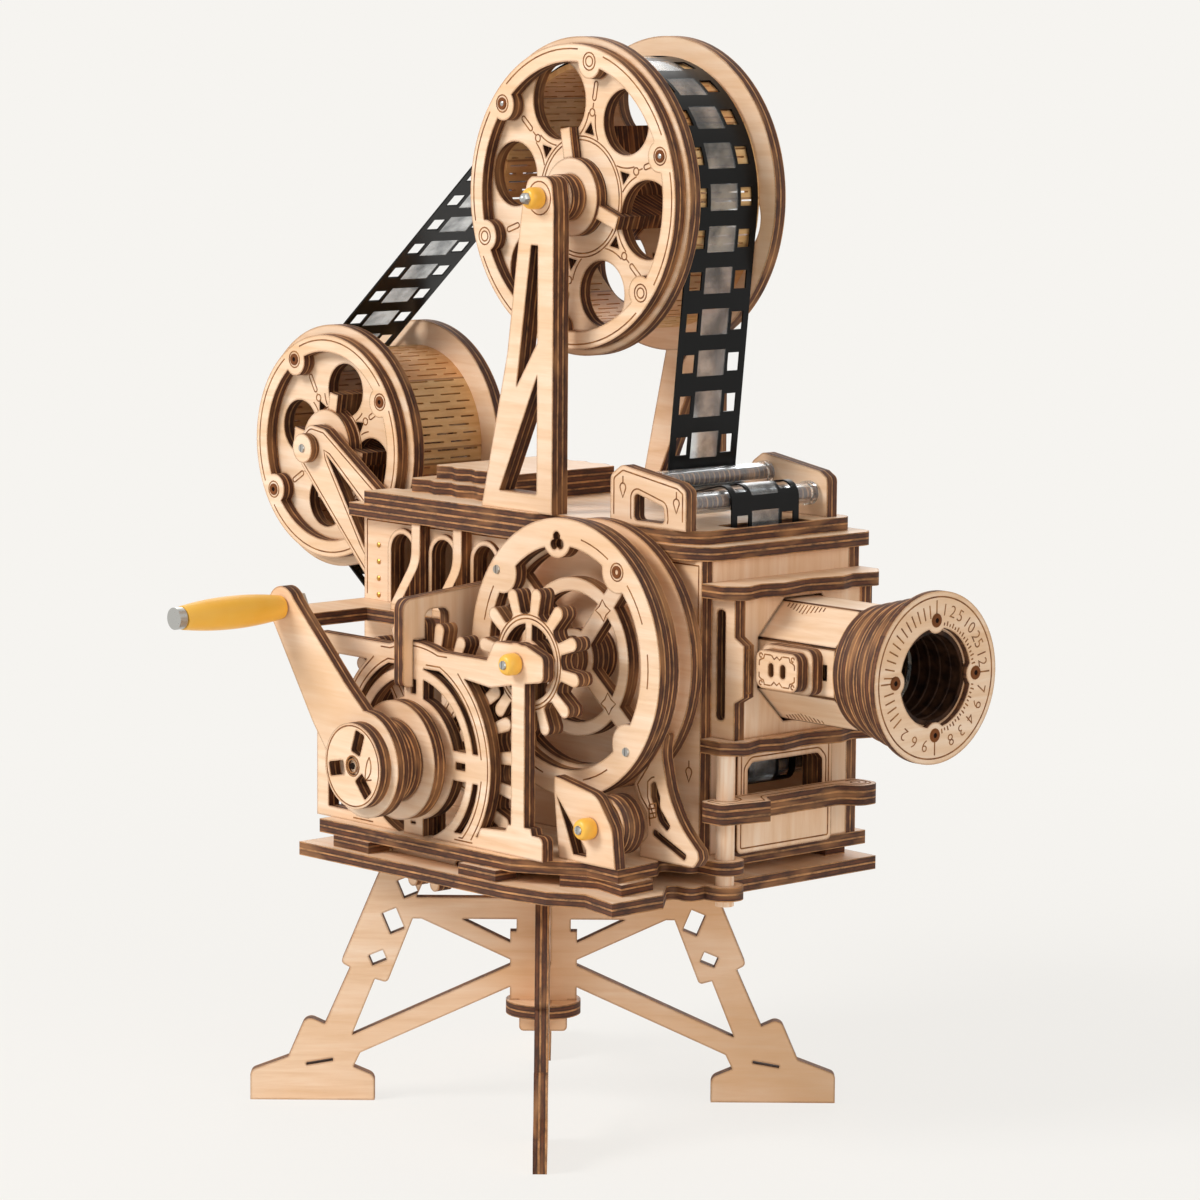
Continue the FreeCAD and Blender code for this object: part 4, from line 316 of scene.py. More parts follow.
def dress(node, key):
    """Give a CAD node one of the materials, and tell the plies where its sheet starts."""
    obj = NODES[node]
    obj["ply_start"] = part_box(node)[0][SHEET_AXIS[key]] / MM if key in SHEET_AXIS else 0.0
    obj.data.materials.clear()
    obj.data.materials.append(MATERIALS[key])


ORIGIN = Vector((3.6, 14.7, 0.0))
DIRECTIONS = {
    "near": ((1, 0, 0), (0, 0, 1), (0, -1, 0)),
    "far": ((1, 0, 0), (0, 0, 1), (0, 1, 0)),
    "front": ((0, 1, 0), (0, 0, 1), (1, 0, 0)),
    "top": ((1, 0, 0), (0, 1, 0), (0, 0, 1)),
}


def spot(x, y, z):
    return (Vector((x, y, z)) + ORIGIN) * MM


class Face:
    def __init__(self, facing, level):
        self.u_way, self.v_way, self.out = (Vector(way) for way in DIRECTIONS[facing])
        self.axis = [abs(part) for part in self.out].index(1.0)
        self.level = level

    def at(self, u, v, lift=0.0):
        place = self.u_way * u + self.v_way * v + self.out * lift
        place[self.axis] += self.level
        return spot(*place)


def polar(u, v, radius, degrees):
    angle = math.radians(degrees)
    return u + radius * math.cos(angle), v + radius * math.sin(angle)


def arc_points(u, v, radius, start, end, step=4.0):
    count = max(2, round(abs(end - start) / step))
    return [polar(u, v, radius, start + (end - start) * i / count) for i in range(count + 1)]


def circle_points(u, v, radius, count=48):
    return [polar(u, v, radius, 360.0 * i / count) for i in range(count)]


# Centres of what turns, as (x, z), and the lens as (y, z)
UPPER_REEL = (5.0, 200.8)
LOWER_REEL = (-78.7, 140.0)
SHAFT = (28.3, 104.8)
CRANK = (-5.0, 80.5)
IDLER = (45.5, 71.4)
LENS = (17.75, 105.0)
FILM_MIDDLE_Y = 17.75
GUIDES = {"rear": (32.0, 141.0), "front": (45.5, 137.7), "lower": (45.5, 79.0)}
GUIDE_ENDS = {"rear": (-3.25, 34.75), "front": (-3.25, 34.75), "lower": (-2.25, 37.75)}
REAR_SLOT = (-51.0, 94.5)
GUIDE_RADIUS = 2.6
SPROCKET_RADIUS = 8.0
CAP_RADIUS = 2.35
DIAL_EYELETS = 12.0             # radius that the dial's four eyelets sit at
WHEEL_LUG = (25.8, 50.6)        # radius and angle of the lug on the flywheel's ring
DRUM_ENDS = (6.6, 28.9)         # y of both drums' ends
FRAME_PITCH = 9.0               # pitch that the film's cells are drawn for

# Faces that carry lines and fasteners
RING = Face("near", 0.6)
FLANGE = Face("near", 3.6)
FLANGE_BACK = Face("far", 31.9)
WHEEL = Face("near", -21.5)
SPOKES = Face("near", -18.5)
GEARS = Face("near", -31.5)
FRAME = Face("near", -35.0)
CRANK_DISC = Face("near", -52.0)
WALL = Face("near", -5.75)
FAR_WALL = Face("far", 41.25)
GUIDE_NEAR = Face("near", -6.75)
GUIDE_FAR = Face("far", 38.25)
BUTTRESS = Face("near", -15.0)
HANDRAIL = Face("top", 76.4)
BRACKET = Face("near", -4.0)
DIAL = Face("front", 99.5)

# Per reel, radii of its drum, ring, bosses, slots, dots and hub, the angles of its bosses and screws, and the
# window arcs' radius with their centres as (distance, first angle, count)
REELS = (
    {"name": "upper_reel", "place": UPPER_REEL, "drum": 29.4, "rim": 31.9, "bosses": range(-41, 300, 60),
     "boss_r": 29.8, "slot": (21.2, 25.4), "dot": 18.6, "hub": (12.3, 13.1), "screws": (19, 139, 259),
     "arch": 9.8, "centres": (21.8, -11, 6)},
    {"name": "lower_reel", "place": LOWER_REEL, "drum": 22.2, "rim": 24.6, "bosses": range(31, 350, 90),
     "boss_r": 22.6, "slot": (14.0, 18.5), "dot": 12.4, "hub": (8.6, 9.2), "screws": (31, 121, 211, 301),
     "arch": 7.7, "centres": (13.5, 75, 4)},
)


# Meshes and pieces

def linked(name, data):
    """New object of the scene."""
    obj = bpy.data.objects.new(name, data)
    bpy.context.scene.collection.objects.link(obj)
    return obj


def new_piece(name, mesh, body, slot, *nodes):
    """Put a finished mesh into the scene on its CAD body, in place of the nodes it stands for."""
    piece = linked(name, mesh)
    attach(piece, body)
    if nodes:
        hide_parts(*nodes)
    return piece


def plain_mesh(name, holder):
    """Plain mesh of what an object shows; the object goes."""
    bpy.context.view_layer.update()
    seen = holder.evaluated_get(bpy.context.evaluated_depsgraph_get())
    mesh = bpy.data.meshes.new_from_object(seen)
    mesh.name = name
    bpy.data.objects.remove(holder)
    return mesh


def mark_sharp(mesh, degrees=35.0):
    """Keep edges crisp between smooth faces."""
    work = bmesh.new()
    work.from_mesh(mesh)
    for edge in work.edges:
        if len(edge.link_faces) == 2 and edge.calc_face_angle(0.0) > math.radians(degrees):
            edge.smooth = False
    work.to_mesh(mesh)
    work.free()


def mesh_of(name, build, *keys, sharp=None):
    """Mesh made by a bmesh function, its faces turned outwards, with materials in the given order."""
    work = bmesh.new()
    build(work)
    bmesh.ops.recalc_face_normals(work, faces=work.faces)
    mesh = bpy.data.meshes.new(name)
    work.to_mesh(mesh)
    work.free()
    for key in keys:
        mesh.materials.append(MATERIALS[key])
    if sharp:
        mark_sharp(mesh, sharp)
    return mesh


def revolve(work, profile, place, segments=48, closed=False, smooth=True):
    """Turned shape from (height, radius) points from end to end, or closed on itself for a tube.

    place(height, u, v) puts a point, u and v from the axis."""
    rings = []
    for height, radius in profile:
        count = segments if radius else 1
        rings.append([work.verts.new(place(height, *polar(0.0, 0.0, radius, 360.0 * i / segments)))
                      for i in range(count)])
    for low, high in zip(rings, rings[1:] + rings[:closed]):
        for i in range(segments):
            j = (i + 1) % segments
            corners = (low[i % len(low)], low[j % len(low)], high[j % len(high)], high[i % len(high)])
            work.faces.new(list(dict.fromkeys(corners))).smooth = smooth


def flat_mesh(name, loops, thick, place, key, sheet=0.0):
    """Plate from (u, v) loops, the first its outline and the others its holes, with grain map and cut faces marked.

    place(u, v, w) gives a point's place, with w from 0 at the plate's back to its thickness."""
    curve = bpy.data.curves.new(name, "CURVE")
    curve.dimensions = "2D"
    curve.fill_mode = "BOTH"
    curve.extrude = thick / 2
    for loop in loops:
        spline = curve.splines.new("POLY")
        spline.points.add(len(loop) - 1)
        spline.points.foreach_set("co", [value for u, v in loop for value in (u, v, 0.0, 1.0)])
        spline.use_cyclic_u = True
    mesh = plain_mesh(name, linked(name, curve))
    work = bmesh.new()
    work.from_mesh(mesh)
    bmesh.ops.remove_doubles(work, verts=work.verts, dist=0.001)
    grain = work.loops.layers.uv.new("grain")
    cut = work.faces.layers.float.new("cut")
    seed = work.faces.layers.float.new("sheet")
    for face in work.faces:
        face.normal_update()
        on_edge = abs(face.normal.z) < 0.5
        face[cut] = float(on_edge)
        face[seed] = sheet
        way = Vector((-face.normal.y, face.normal.x))
        for corner in face.loops:
            u, v, w = corner.vert.co
            corner[grain].uv = (way.dot((u, v)), w + thick / 2) if on_edge else (u, v)
    for vert in work.verts:
        vert.co = place(vert.co.x, vert.co.y, vert.co.z + thick / 2)
    bmesh.ops.recalc_face_normals(work, faces=work.faces)
    work.to_mesh(mesh)
    work.free()
    mesh.materials.clear()
    mesh.materials.append(MATERIALS[key])
    return mesh


def joined(name, meshes):
    """One mesh out of several, with their materials, maps and marks kept."""
    holders = [linked(name, mesh) for mesh in meshes]
    with bpy.context.temp_override(active_object=holders[0], selected_editable_objects=holders):
        bpy.ops.object.join()
    mesh = holders[0].data
    bpy.data.objects.remove(holders[0])
    mesh.name = name
    return mesh


def sheet_mesh(name, rows, columns, keep, place, maps, *keys):
    """Thin closed band of square cells between two skins, with walls round every hole.

    keep(row, column) gives a cell's material, or None for a hole; place(row, column, side) gives a point's
    place on the inner (0) or outer (1) skin; maps(row, column) its grain coordinates in mm."""
    def build(work):
        grain = work.loops.layers.uv.new("grain")
        points = {}

        def quad(corners, slot):
            for row, column, side in corners:
                key = (row % rows, column, side)
                if key not in points:
                    points[key] = work.verts.new(place(*key))
            face = work.faces.new([points[row % rows, column, side] for row, column, side in corners])
            face.material_index = slot
            face.smooth = True
            for loop, (row, column, _) in zip(face.loops, corners):
                loop[grain].uv = maps(row, column)

        for row in range(rows):
            for column in range(columns - 1):
                slot = keep(row, column)
                if slot is None:
                    continue
                ring = ((row, column), (row, column + 1), (row + 1, column + 1), (row + 1, column))
                for side in (0, 1):
                    quad([corner + (side,) for corner in ring], slot)
                beside = ((row - 1, column), (row, column + 1), (row + 1, column), (row, column - 1))
                for i, (other, next_column) in enumerate(beside):
                    if 0 <= next_column < columns - 1 and keep(other % rows, next_column) is not None:
                        continue
                    first, second = ring[i], ring[(i + 1) % 4]
                    quad([first + (0,), second + (0,), second + (1,), first + (1,)], slot)

    return mesh_of(name, build, *keys, sharp=40.0)


# Burnt lines and small fasteners, by geometry nodes

class Marks:
    """Chains of points on the faces of one body, each point with the way its face looks."""

    def __init__(self):
        self.points = []
        self.facings = []
        self.edges = []

    def chain(self, places, facing, closed=False):
        start = len(self.points)
        self.points += places
        self.facings += [facing] * len(places)
        self.edges += [(start + i, start + i + 1) for i in range(len(places) - 1)]
        if closed:
            self.edges.append((start + len(places) - 1, start))

    def line(self, face, uvs, closed=False):
        self.chain([face.at(u, v) for u, v in uvs], face.out, closed)

    def circles(self, face, centre, *radii):
        for radius in radii:
            self.line(face, circle_points(*centre, radius, max(16, round(radius * 6))), closed=True)

    def mesh(self, name):
        mesh = bpy.data.meshes.new(name)
        mesh.from_pydata(self.points, self.edges, [])
        facing = mesh.attributes.new("facing", "FLOAT_VECTOR", "POINT")
        facing.data.foreach_set("vector", [part for way in self.facings for part in way])
        return mesh


def tree_with(name, **inputs):
    """Geometry node tree with a geometry input and output, the given named inputs, and its facing attribute."""
    tree = bpy.data.node_groups.new(name, "GeometryNodeTree")
    tree.interface.new_socket("Geometry", in_out="OUTPUT", socket_type="NodeSocketGeometry")
    for title, kind in {"Geometry": "Geometry", **inputs, "Material": "Material"}.items():
        tree.interface.new_socket(title, in_out="INPUT", socket_type="NodeSocket" + kind)
    facing = add(tree, "GeometryNodeInputNamedAttribute", {"Name": "facing"}, data_type="FLOAT_VECTOR")
    return tree, add(tree, "NodeGroupInput", give=None).outputs, facing


def close_tree(tree, given, geometry):
    """End a tree in real geometry with its material set."""
    real = add(tree, "GeometryNodeRealizeInstances", (geometry,))
    dressed = add(tree, "GeometryNodeSetMaterial", {"Geometry": real, "Material": given["Material"]})
    add(tree, "NodeGroupOutput", (dressed,))
    return tree


def line_tree():
    """Lines of a mesh drawn as flat bars that lie half sunk in the face they are on."""
    tree, given, facing = tree_with("burnt_lines", Width="Float", Depth="Float")
    curve = add(tree, "GeometryNodeMeshToCurve", {"Mesh": given["Geometry"]})
    curve = add(tree, "GeometryNodeSetCurveNormal", {"Curve": curve, "Normal": facing}, mode="FREE")
    bar = add(tree, "GeometryNodeCurvePrimitiveQuadrilateral",
              {"Width": given["Depth"], "Height": given["Width"]}, mode="RECTANGLE")
    swept = add(tree, "GeometryNodeCurveToMesh", {"Curve": curve, "Profile Curve": bar, "Fill Caps": True})
    return close_tree(tree, given, swept)


def fastener_tree():
    """A fastener at every point, turned to look the way its face does."""
    tree, given, facing = tree_with("fasteners", Fastener="Object")
    turn = add(tree, "FunctionNodeAlignRotationToVector", {"Vector": facing}, axis="Z")
    part = add(tree, "GeometryNodeObjectInfo", {"Object": given["Fastener"]}, "Geometry")
    placed = add(tree, "GeometryNodeInstanceOnPoints",
                 {"Points": given["Geometry"], "Instance": part, "Rotation": turn})
    return close_tree(tree, given, placed)


def grown(name, marks, tree, **values):
    """Plain mesh that a geometry node tree makes of marks, with the tree's named inputs filled."""
    holder = linked(name, marks.mesh(name))
    modifier = holder.modifiers.new(name, "NODES")
    modifier.node_group = tree
    sockets = {item.name: item.identifier for item in tree.interface.items_tree if item.in_out == "INPUT"}
    for title, value in values.items():
        modifier[sockets[title]] = value
    return plain_mesh(name, holder)


def face_loops(node, face):
    """Closed chains of (u, v) round the flats of a CAD node that lie in a face's plane, the wood on their left."""
    mesh = NODES[node].data
    mesh.calc_loop_triangles()
    places = np.empty(len(mesh.vertices) * 3)
    mesh.vertices.foreach_get("co", places)
    corners = np.empty(len(mesh.loop_triangles) * 3, dtype=int)
    mesh.loop_triangles.foreach_get("vertices", corners)
    triangles = (places.reshape(-1, 3) / MM - np.array(ORIGIN))[corners.reshape(-1, 3)]
    triangles = triangles[np.all(np.abs(triangles[:, :, face.axis] - face.level) < 0.02, axis=1)]
    u, v = triangles @ np.array(face.u_way), triangles @ np.array(face.v_way)
    turn = (u[:, 1] - u[:, 0]) * (v[:, 2] - v[:, 0]) - (u[:, 2] - u[:, 0]) * (v[:, 1] - v[:, 0])
    outline = {}
    for triangle, side in zip(np.round(np.stack([u, v], axis=2), 3), turn):
        names = [tuple(triangle[i]) for i in ((0, 1, 2) if side > 0 else (0, 2, 1))]
        for start, end in zip(names, names[1:] + names[:1]):
            if (end, start) in outline:
                del outline[end, start]
            elif start != end:
                outline[start, end] = True
    following = {}
    for start, end in outline:
        following.setdefault(start, []).append(end)
    loops = []
    while following:
        loop = [next(iter(following))]
        while True:
            ends = following[loop[-1]]
            end = ends.pop()
            if not ends:
                del following[loop[-1]]
            if end == loop[0] or end not in following:
                break
            loop.append(end)
        if len(loop) > 2:
            loops.append(loop)
    return loops


def inset_chains(node, face, inset, wanted=None, shortest=4.0):
    """Chains of (u, v) along a CAD node's edges at an inset, broken where another edge comes nearer."""
    loops = face_loops(node, face)
    firsts = np.array([point for loop in loops for point in loop])
    ways = np.array([point for loop in loops for point in loop[1:] + loop[:1]]) - firsts
    squares = np.maximum((ways ** 2).sum(axis=1), 1e-9)
    for loop in loops:
        points = []
        for first, second in zip(loop, loop[1:] + loop[:1]):
            first, way = np.array(first), np.subtract(second, first)
            steps = max(1, math.ceil(np.hypot(*way)))
            points += [first + way * i / steps for i in range(steps)]
        points = np.array(points)
        inwards = 0.0
        for way in (points - np.roll(points, 1, axis=0), np.roll(points, -1, axis=0) - points):
            inwards = inwards + way[:, ::-1] * (-1, 1) / np.maximum(np.hypot(*way.T), 1e-9)[:, None]
        size = np.maximum((inwards ** 2).sum(axis=1), 0.5)
        moved = points + inwards * (2 * inset / size)[:, None]
        apart = moved[:, None, :] - firsts[None]
        share = np.clip((apart * ways[None]).sum(axis=2) / squares, 0, 1)
        distance = np.sqrt(((apart - share[:, :, None] * ways[None]) ** 2).sum(axis=2)).min(axis=1)
        good = distance > inset * 0.96
        moved = [tuple(point) for point in moved]
        if wanted:
            good &= np.array([wanted(*point) for point in moved])
        if good.all():
            yield moved, True
            continue
        shift = int(np.argmin(good))
        chain = []
        for k in [(shift + i) % len(moved) for i in range(len(moved) + 1)]:
            if good[k]:
                chain.append(moved[k])
                continue
            if chain and sum(math.dist(p, q) for p, q in zip(chain, chain[1:])) >= shortest:
                yield chain, False
            chain = []


# Settings

def colour(name, description, code):
    """Colour setting from an sRGB hex code."""
    return bpy.props.FloatVectorProperty(
        name=name, description=description, default=linear(code), size=4, subtype="COLOR", min=0.0, max=1.0)


def length(name, description, mm):
    """Length setting from mm."""
    return bpy.props.FloatProperty(name=name, description=description, default=mm * MM, unit="LENGTH", precision=5)


def angle(name, description, degrees):
    """Angle setting from degrees."""
    return bpy.props.FloatProperty(name=name, description=description, default=math.radians(degrees), subtype="ANGLE")


def power(name, description, watts):
    """Lamp setting from watts."""
    return bpy.props.FloatProperty(name=name, description=description, default=watts, unit="POWER")


def share(name, description, default):
    """Share from 0 to 1."""
    return bpy.props.FloatProperty(
        name=name, description=description, default=default, subtype="FACTOR", min=0.0, max=1.0)


class ProjectorLooks(bpy.types.PropertyGroup):
    face: colour("Face", "Colour of a sheet's face", "#eeceae")
    face_dark: colour("Face dark", "Darker grain on a face", "#dfb68c")
    face_pale: colour("Face pale", "Paler grain on a face", "#f6dfc7")
    face_warm: colour("Face warm", "Warm patches on a face", "#e7bd95")
    pore: colour("Pore", "Short streaks in the grain", "#c4935f")
    singe: colour("Singe", "Singed line along a cut", "#7d4823")
    line_dark: colour("Line dark", "Laser's line, dark", "#6f3f1d")
    line_pale: colour("Line pale", "Laser's line, golden", "#a5713f")
    toast: colour("Toast", "Golden smoke beside a cut", "#bd8850")
    stain: colour("Stain", "Brown clouds on the faces", "#dcae7c")
    burnt: colour("Burnt", "Scorched rim of an eyelet", "#6b3d1d")
    edge_dark: colour("Edge dark", "Charred glue lines", "#28110a")
    edge_mid: colour("Edge mid", "Browned outer plies", "#66381b")
    edge_pale: colour("Edge pale", "Thin pale plies", "#c48c58")
    honey: colour("Honey", "Drum veneer", "#e3b980")
    honey_dark: colour("Honey dark", "Drum veneer's streaks", "#cf9f64")
    honey_pale: colour("Honey pale", "Drum veneer's highlights", "#efcf9e")
    honey_pink: colour("Honey pink", "Tint of every second panel", "#ffeadc")
    yellow: colour("Yellow", "Caps and crank grip", "#f2b136")
    yellow_pale: colour("Yellow pale", "Paler patches", "#f5bd4c")
    black: colour("Black", "Film base", "#070707")
    black_pale: colour("Black pale", "Film base, lighter patches", "#0d0d0e")
    # painted shade: these two colours are the dark of small holes and of the lens bore where they lie in shade
    hole: colour("Hole", "Dark bottom of a small hole", "#1d100a")
    bore_shade_pale: colour("Char pale", "Charred bore, paler", "#4a3020")
    frame_dark: colour("Frame dark", "Film frame, dark", "#8f9294")
    frame_pale: colour("Frame pale", "Film frame, pale", "#e4e6e6")
    steel: colour("Steel", "Screws", "#b9b9b6")
    brass: colour("Brass", "Pins", "#c79a4e")
    glass: colour("Glass", "Lens", "#f4fbfb")
    acrylic: colour("Acrylic", "Guide tubes", "#f8fcff")
    singe_reach: length("Singe reach", "Width of a singed line", 0.75)
    leg_turn: angle("Leg turn", "Turn of the stand about Z", 47.7)


class ProjectorSizes(bpy.types.PropertyGroup):
    """Sizes of the pieces that the looks add."""
    slit_pitch: length("Slit pitch", "From row to row of slits", 1.9)
    slit_length: length("Slit length", "Along the drum", 6.0)
    slit_gap: length("Slit gap", "Wood left between two slits", 2.0)
    slit_width: length("Slit width", "Round the drum", 0.4)
    veneer: length("Veneer", "Thickness of the drum's veneer", 1.2)
    film_lift: length("Film lift", "Wheel to the film's middle", 0.6)
    film_thick: length("Film thickness", "Thickness of the film", 0.4)
    frame_pitch: length("Frame pitch", "From frame to frame", FRAME_PITCH)
    film_margin: length("Film margin", "Edge to the holes", 1.6)
    hole_width: length("Hole width", "Film hole across the strip", 3.5)
    number_size: length("Number size", "Height of the dial's numbers", 3.7)
    line_width: length("Line width", "Width of a burnt line", 0.3)
    line_depth: length("Line depth", "Depth of a burnt line's bar", 0.12)


class ProjectorStage(bpy.types.PropertyGroup):
    """Camera, lights and floor."""
    azimuth: angle("Azimuth", "Camera azimuth", 47.48)
    elevation: angle("Elevation", "Camera elevation", 7.66)
    roll: angle("Roll", "Camera roll", 0.44)
    lens: bpy.props.FloatProperty(name="Lens", description="Focal length", default=138.45, unit="CAMERA")
    camera_place: bpy.props.FloatVectorProperty(
        name="Camera place", description="Camera centre", size=3, default=(0.7509, -0.6558, 0.2475), unit="LENGTH")
    key_power: power("Key", "Key light", 30.5)
    fill_power: power("Fill", "Fill light", 9.5)
    back_power: power("Back", "Light from behind", 9.0)
    sky: share("Sky", "Strength of the even light", 0.43)
    backdrop: colour("Backdrop", "Colour behind the object", "#f6f4f0")
    paper: colour("Paper", "Floor paper", "#f2f0ec")
    paper_pale: colour("Paper pale", "Floor paper, paler", "#f4f2ee")
    shadow_share: share("Shadow share", "Real shading shown", 0.16)
    shadow_near: length("Shadow near", "Full share up to here", 200.0)
    shadow_far: length("Shadow far", "None from here", 480.0)


# The pieces, one operator each

class PROJECTOR_OT_sheets(bpy.types.Operator):
    """Dress the CAD sheets in plywood and the other CAD pieces in their own finishes"""
    bl_idname = "projector.sheets"
    bl_label = "Dress the sheets"

    def execute(self, context):
        MATERIALS.update(build_materials(context.scene.projector_looks))
        special = {node: key for key, nodes in DRESSED.items() for node in nodes}
        for node in NODES:
            dress(node, special.get(node, "side"))
        return {"FINISHED"}


class PROJECTOR_OT_drums(bpy.types.Operator):
    """Bend the slit veneer of both reels round their drums"""
    bl_idname = "projector.drums"
    bl_label = "Bend the drums"

    def drum(self, reel, sizes):
        x, z = reel["place"]
        radius = reel["drum"]
        low, high = DRUM_ENDS
        step = (sizes.slit_length + sizes.slit_gap) / MM / 2
        half = sizes.slit_gap / MM / 2
        middles = [low + i * step for i in range(-1, math.ceil((high - low) / step) + 1)]
        ends = [middle + side for middle in middles for side in (-half, half)]
        cuts = [low] + [y for y in ends if low < y < high] + [high]
        pairs = 2 * round(math.pi * radius * MM / sizes.slit_pitch)
        wide = 360.0 / pairs
        slit = math.degrees(sizes.slit_width / MM / radius)

        def keep(row, column):
            """Odd rows are slits, but for the bridges, which shift by half a slit from row to row."""
            middle = (cuts[column] + cuts[column + 1]) / 2
            place = (middle - low) / (2 * step) + (0.5 if row % 4 == 1 else 0.0)
            bridge = abs(place - round(place)) * 2 * step < half + 0.01
            return 0 if row % 2 == 0 or bridge or column in (0, len(cuts) - 2) else None

        def turn(row):
            return wide * (row // 2) + (wide - slit if row % 2 else 0.0)

        def place(row, column, side):
            u, w = polar(x, z, radius - (0.0 if side else sizes.veneer / MM), turn(row))
            return spot(u, cuts[column], w)

        def maps(row, column):
            return math.radians(turn(row)) * radius, cuts[column]

        name = reel["name"] + "_drum_veneer"
        mesh = sheet_mesh(name, 2 * pairs, len(cuts), keep, place, maps, "honey")
        new_piece(name, mesh, reel["name"], "plywood", reel["name"] + "_drum")

    def execute(self, context):
        for reel in REELS:
            self.drum(reel, context.scene.projector_sizes)
        return {"FINISHED"}


class PROJECTOR_OT_film(bpy.types.Operator):
    """Run the film over the reels, the guides and the sprocket, with its holes and grey frames"""
    bl_idname = "projector.film"
    bl_label = "Thread the film"

    def runs(self, lift):
        """Arcs and straight runs of the loop's middle line, each with its length."""
        small = GUIDE_RADIUS + lift
        wheels = [UPPER_REEL + (REELS[0]["drum"] + lift, 1), GUIDES["rear"] + (small, -1),
                  GUIDES["front"] + (small, 1), GUIDES["lower"] + (small, 1), SHAFT + (SPROCKET_RADIUS + lift, -1),
                  REAR_SLOT + (small, 1), LOWER_REEL + (REELS[1]["drum"] + lift, 1)]
        tangents = []
        for (x0, z0, r0, t0), (x1, z1, r1, t1) in zip(wheels, wheels[1:] + wheels[:1]):
            dx, dz = x1 - x0, z1 - z0
            way = math.atan2(dz, dx) + math.asin((t1 * r1 - t0 * r0) / math.hypot(dx, dz))
            nx, nz = -math.sin(way), math.cos(way)
            tangents.append(((x0 + t0 * r0 * nx, z0 + t0 * r0 * nz), (x1 + t1 * r1 * nx, z1 + t1 * r1 * nz), way))
        runs = []
        for i, (x, z, radius, turn) in enumerate(wheels):
            start, end, leave = tangents[i]
            arrive = tangents[i - 1][2]
            sweep = (turn * (arrive - leave)) % (2 * math.pi)
            runs.append((radius * sweep, "arc", (x, z, radius * turn, arrive, -turn * sweep)))
            runs.append((math.dist(start, end), "run", (start, end, leave)))
        return runs

    def middle_line(self, runs, stations):
        """Point (x, z) and direction of the loop at each station along it."""
        index, passed = 0, 0.0
        for station in stations:
            while station > passed + runs[index][0] and index < len(runs) - 1:
                passed += runs[index][0]
                index += 1
            size, kind, data = runs[index]
            share = (station - passed) / size
            if kind == "run":
                (x0, z0), (x1, z1), way = data
                yield x0 + (x1 - x0) * share, z0 + (z1 - z0) * share, way
            else:
                x, z, radius, arrive, sweep = data
                way = arrive + sweep * share
                yield x - radius * math.sin(way), z + radius * math.cos(way), way

    def execute(self, context):
        sizes = context.scene.projector_sizes
        runs = self.runs(sizes.film_lift / MM)
        total = sum(run[0] for run in runs)
        count = round(total * MM / sizes.frame_pitch)
        pitch = total / count
        marks = (0.0, 0.85, 1.65, 2.5, 3.5, 4.5, 5.5, 6.5, 7.35, 8.15)
        hole_rows, window_rows = range(3, 7), range(2, 8)
        stations = [(i + mark / FRAME_PITCH) * pitch for i in range(count) for mark in marks]
        line = list(self.middle_line(runs, stations))
        half, gap = 10.0, 0.9
        hole_start = sizes.film_margin / MM - half
        hole_end = hole_start + sizes.hole_width / MM
        across = [-half, hole_start, hole_end, hole_end + gap]
        across += [0.0] + [-value for value in reversed(across)]
        columns = len(across)

        def keep(row, column):
            row %= len(marks)
            if column in (1, columns - 3) and row in hole_rows:
                return None
            return int(column in range(3, columns - 4) and row in window_rows)

        def place(row, column, side):
            x, z, way = line[row]
            lift = sizes.film_thick / MM * (side - 0.5)
            return spot(x - lift * math.sin(way), FILM_MIDDLE_Y + across[column], z + lift * math.cos(way))

        def maps(row, column):
            return stations[row % len(line)], across[column]

        mesh = sheet_mesh("film", len(line), columns, keep, place, maps, "black", "frame")
        new_piece("film", mesh, "body", "film", "film_strip")
        return {"FINISHED"}


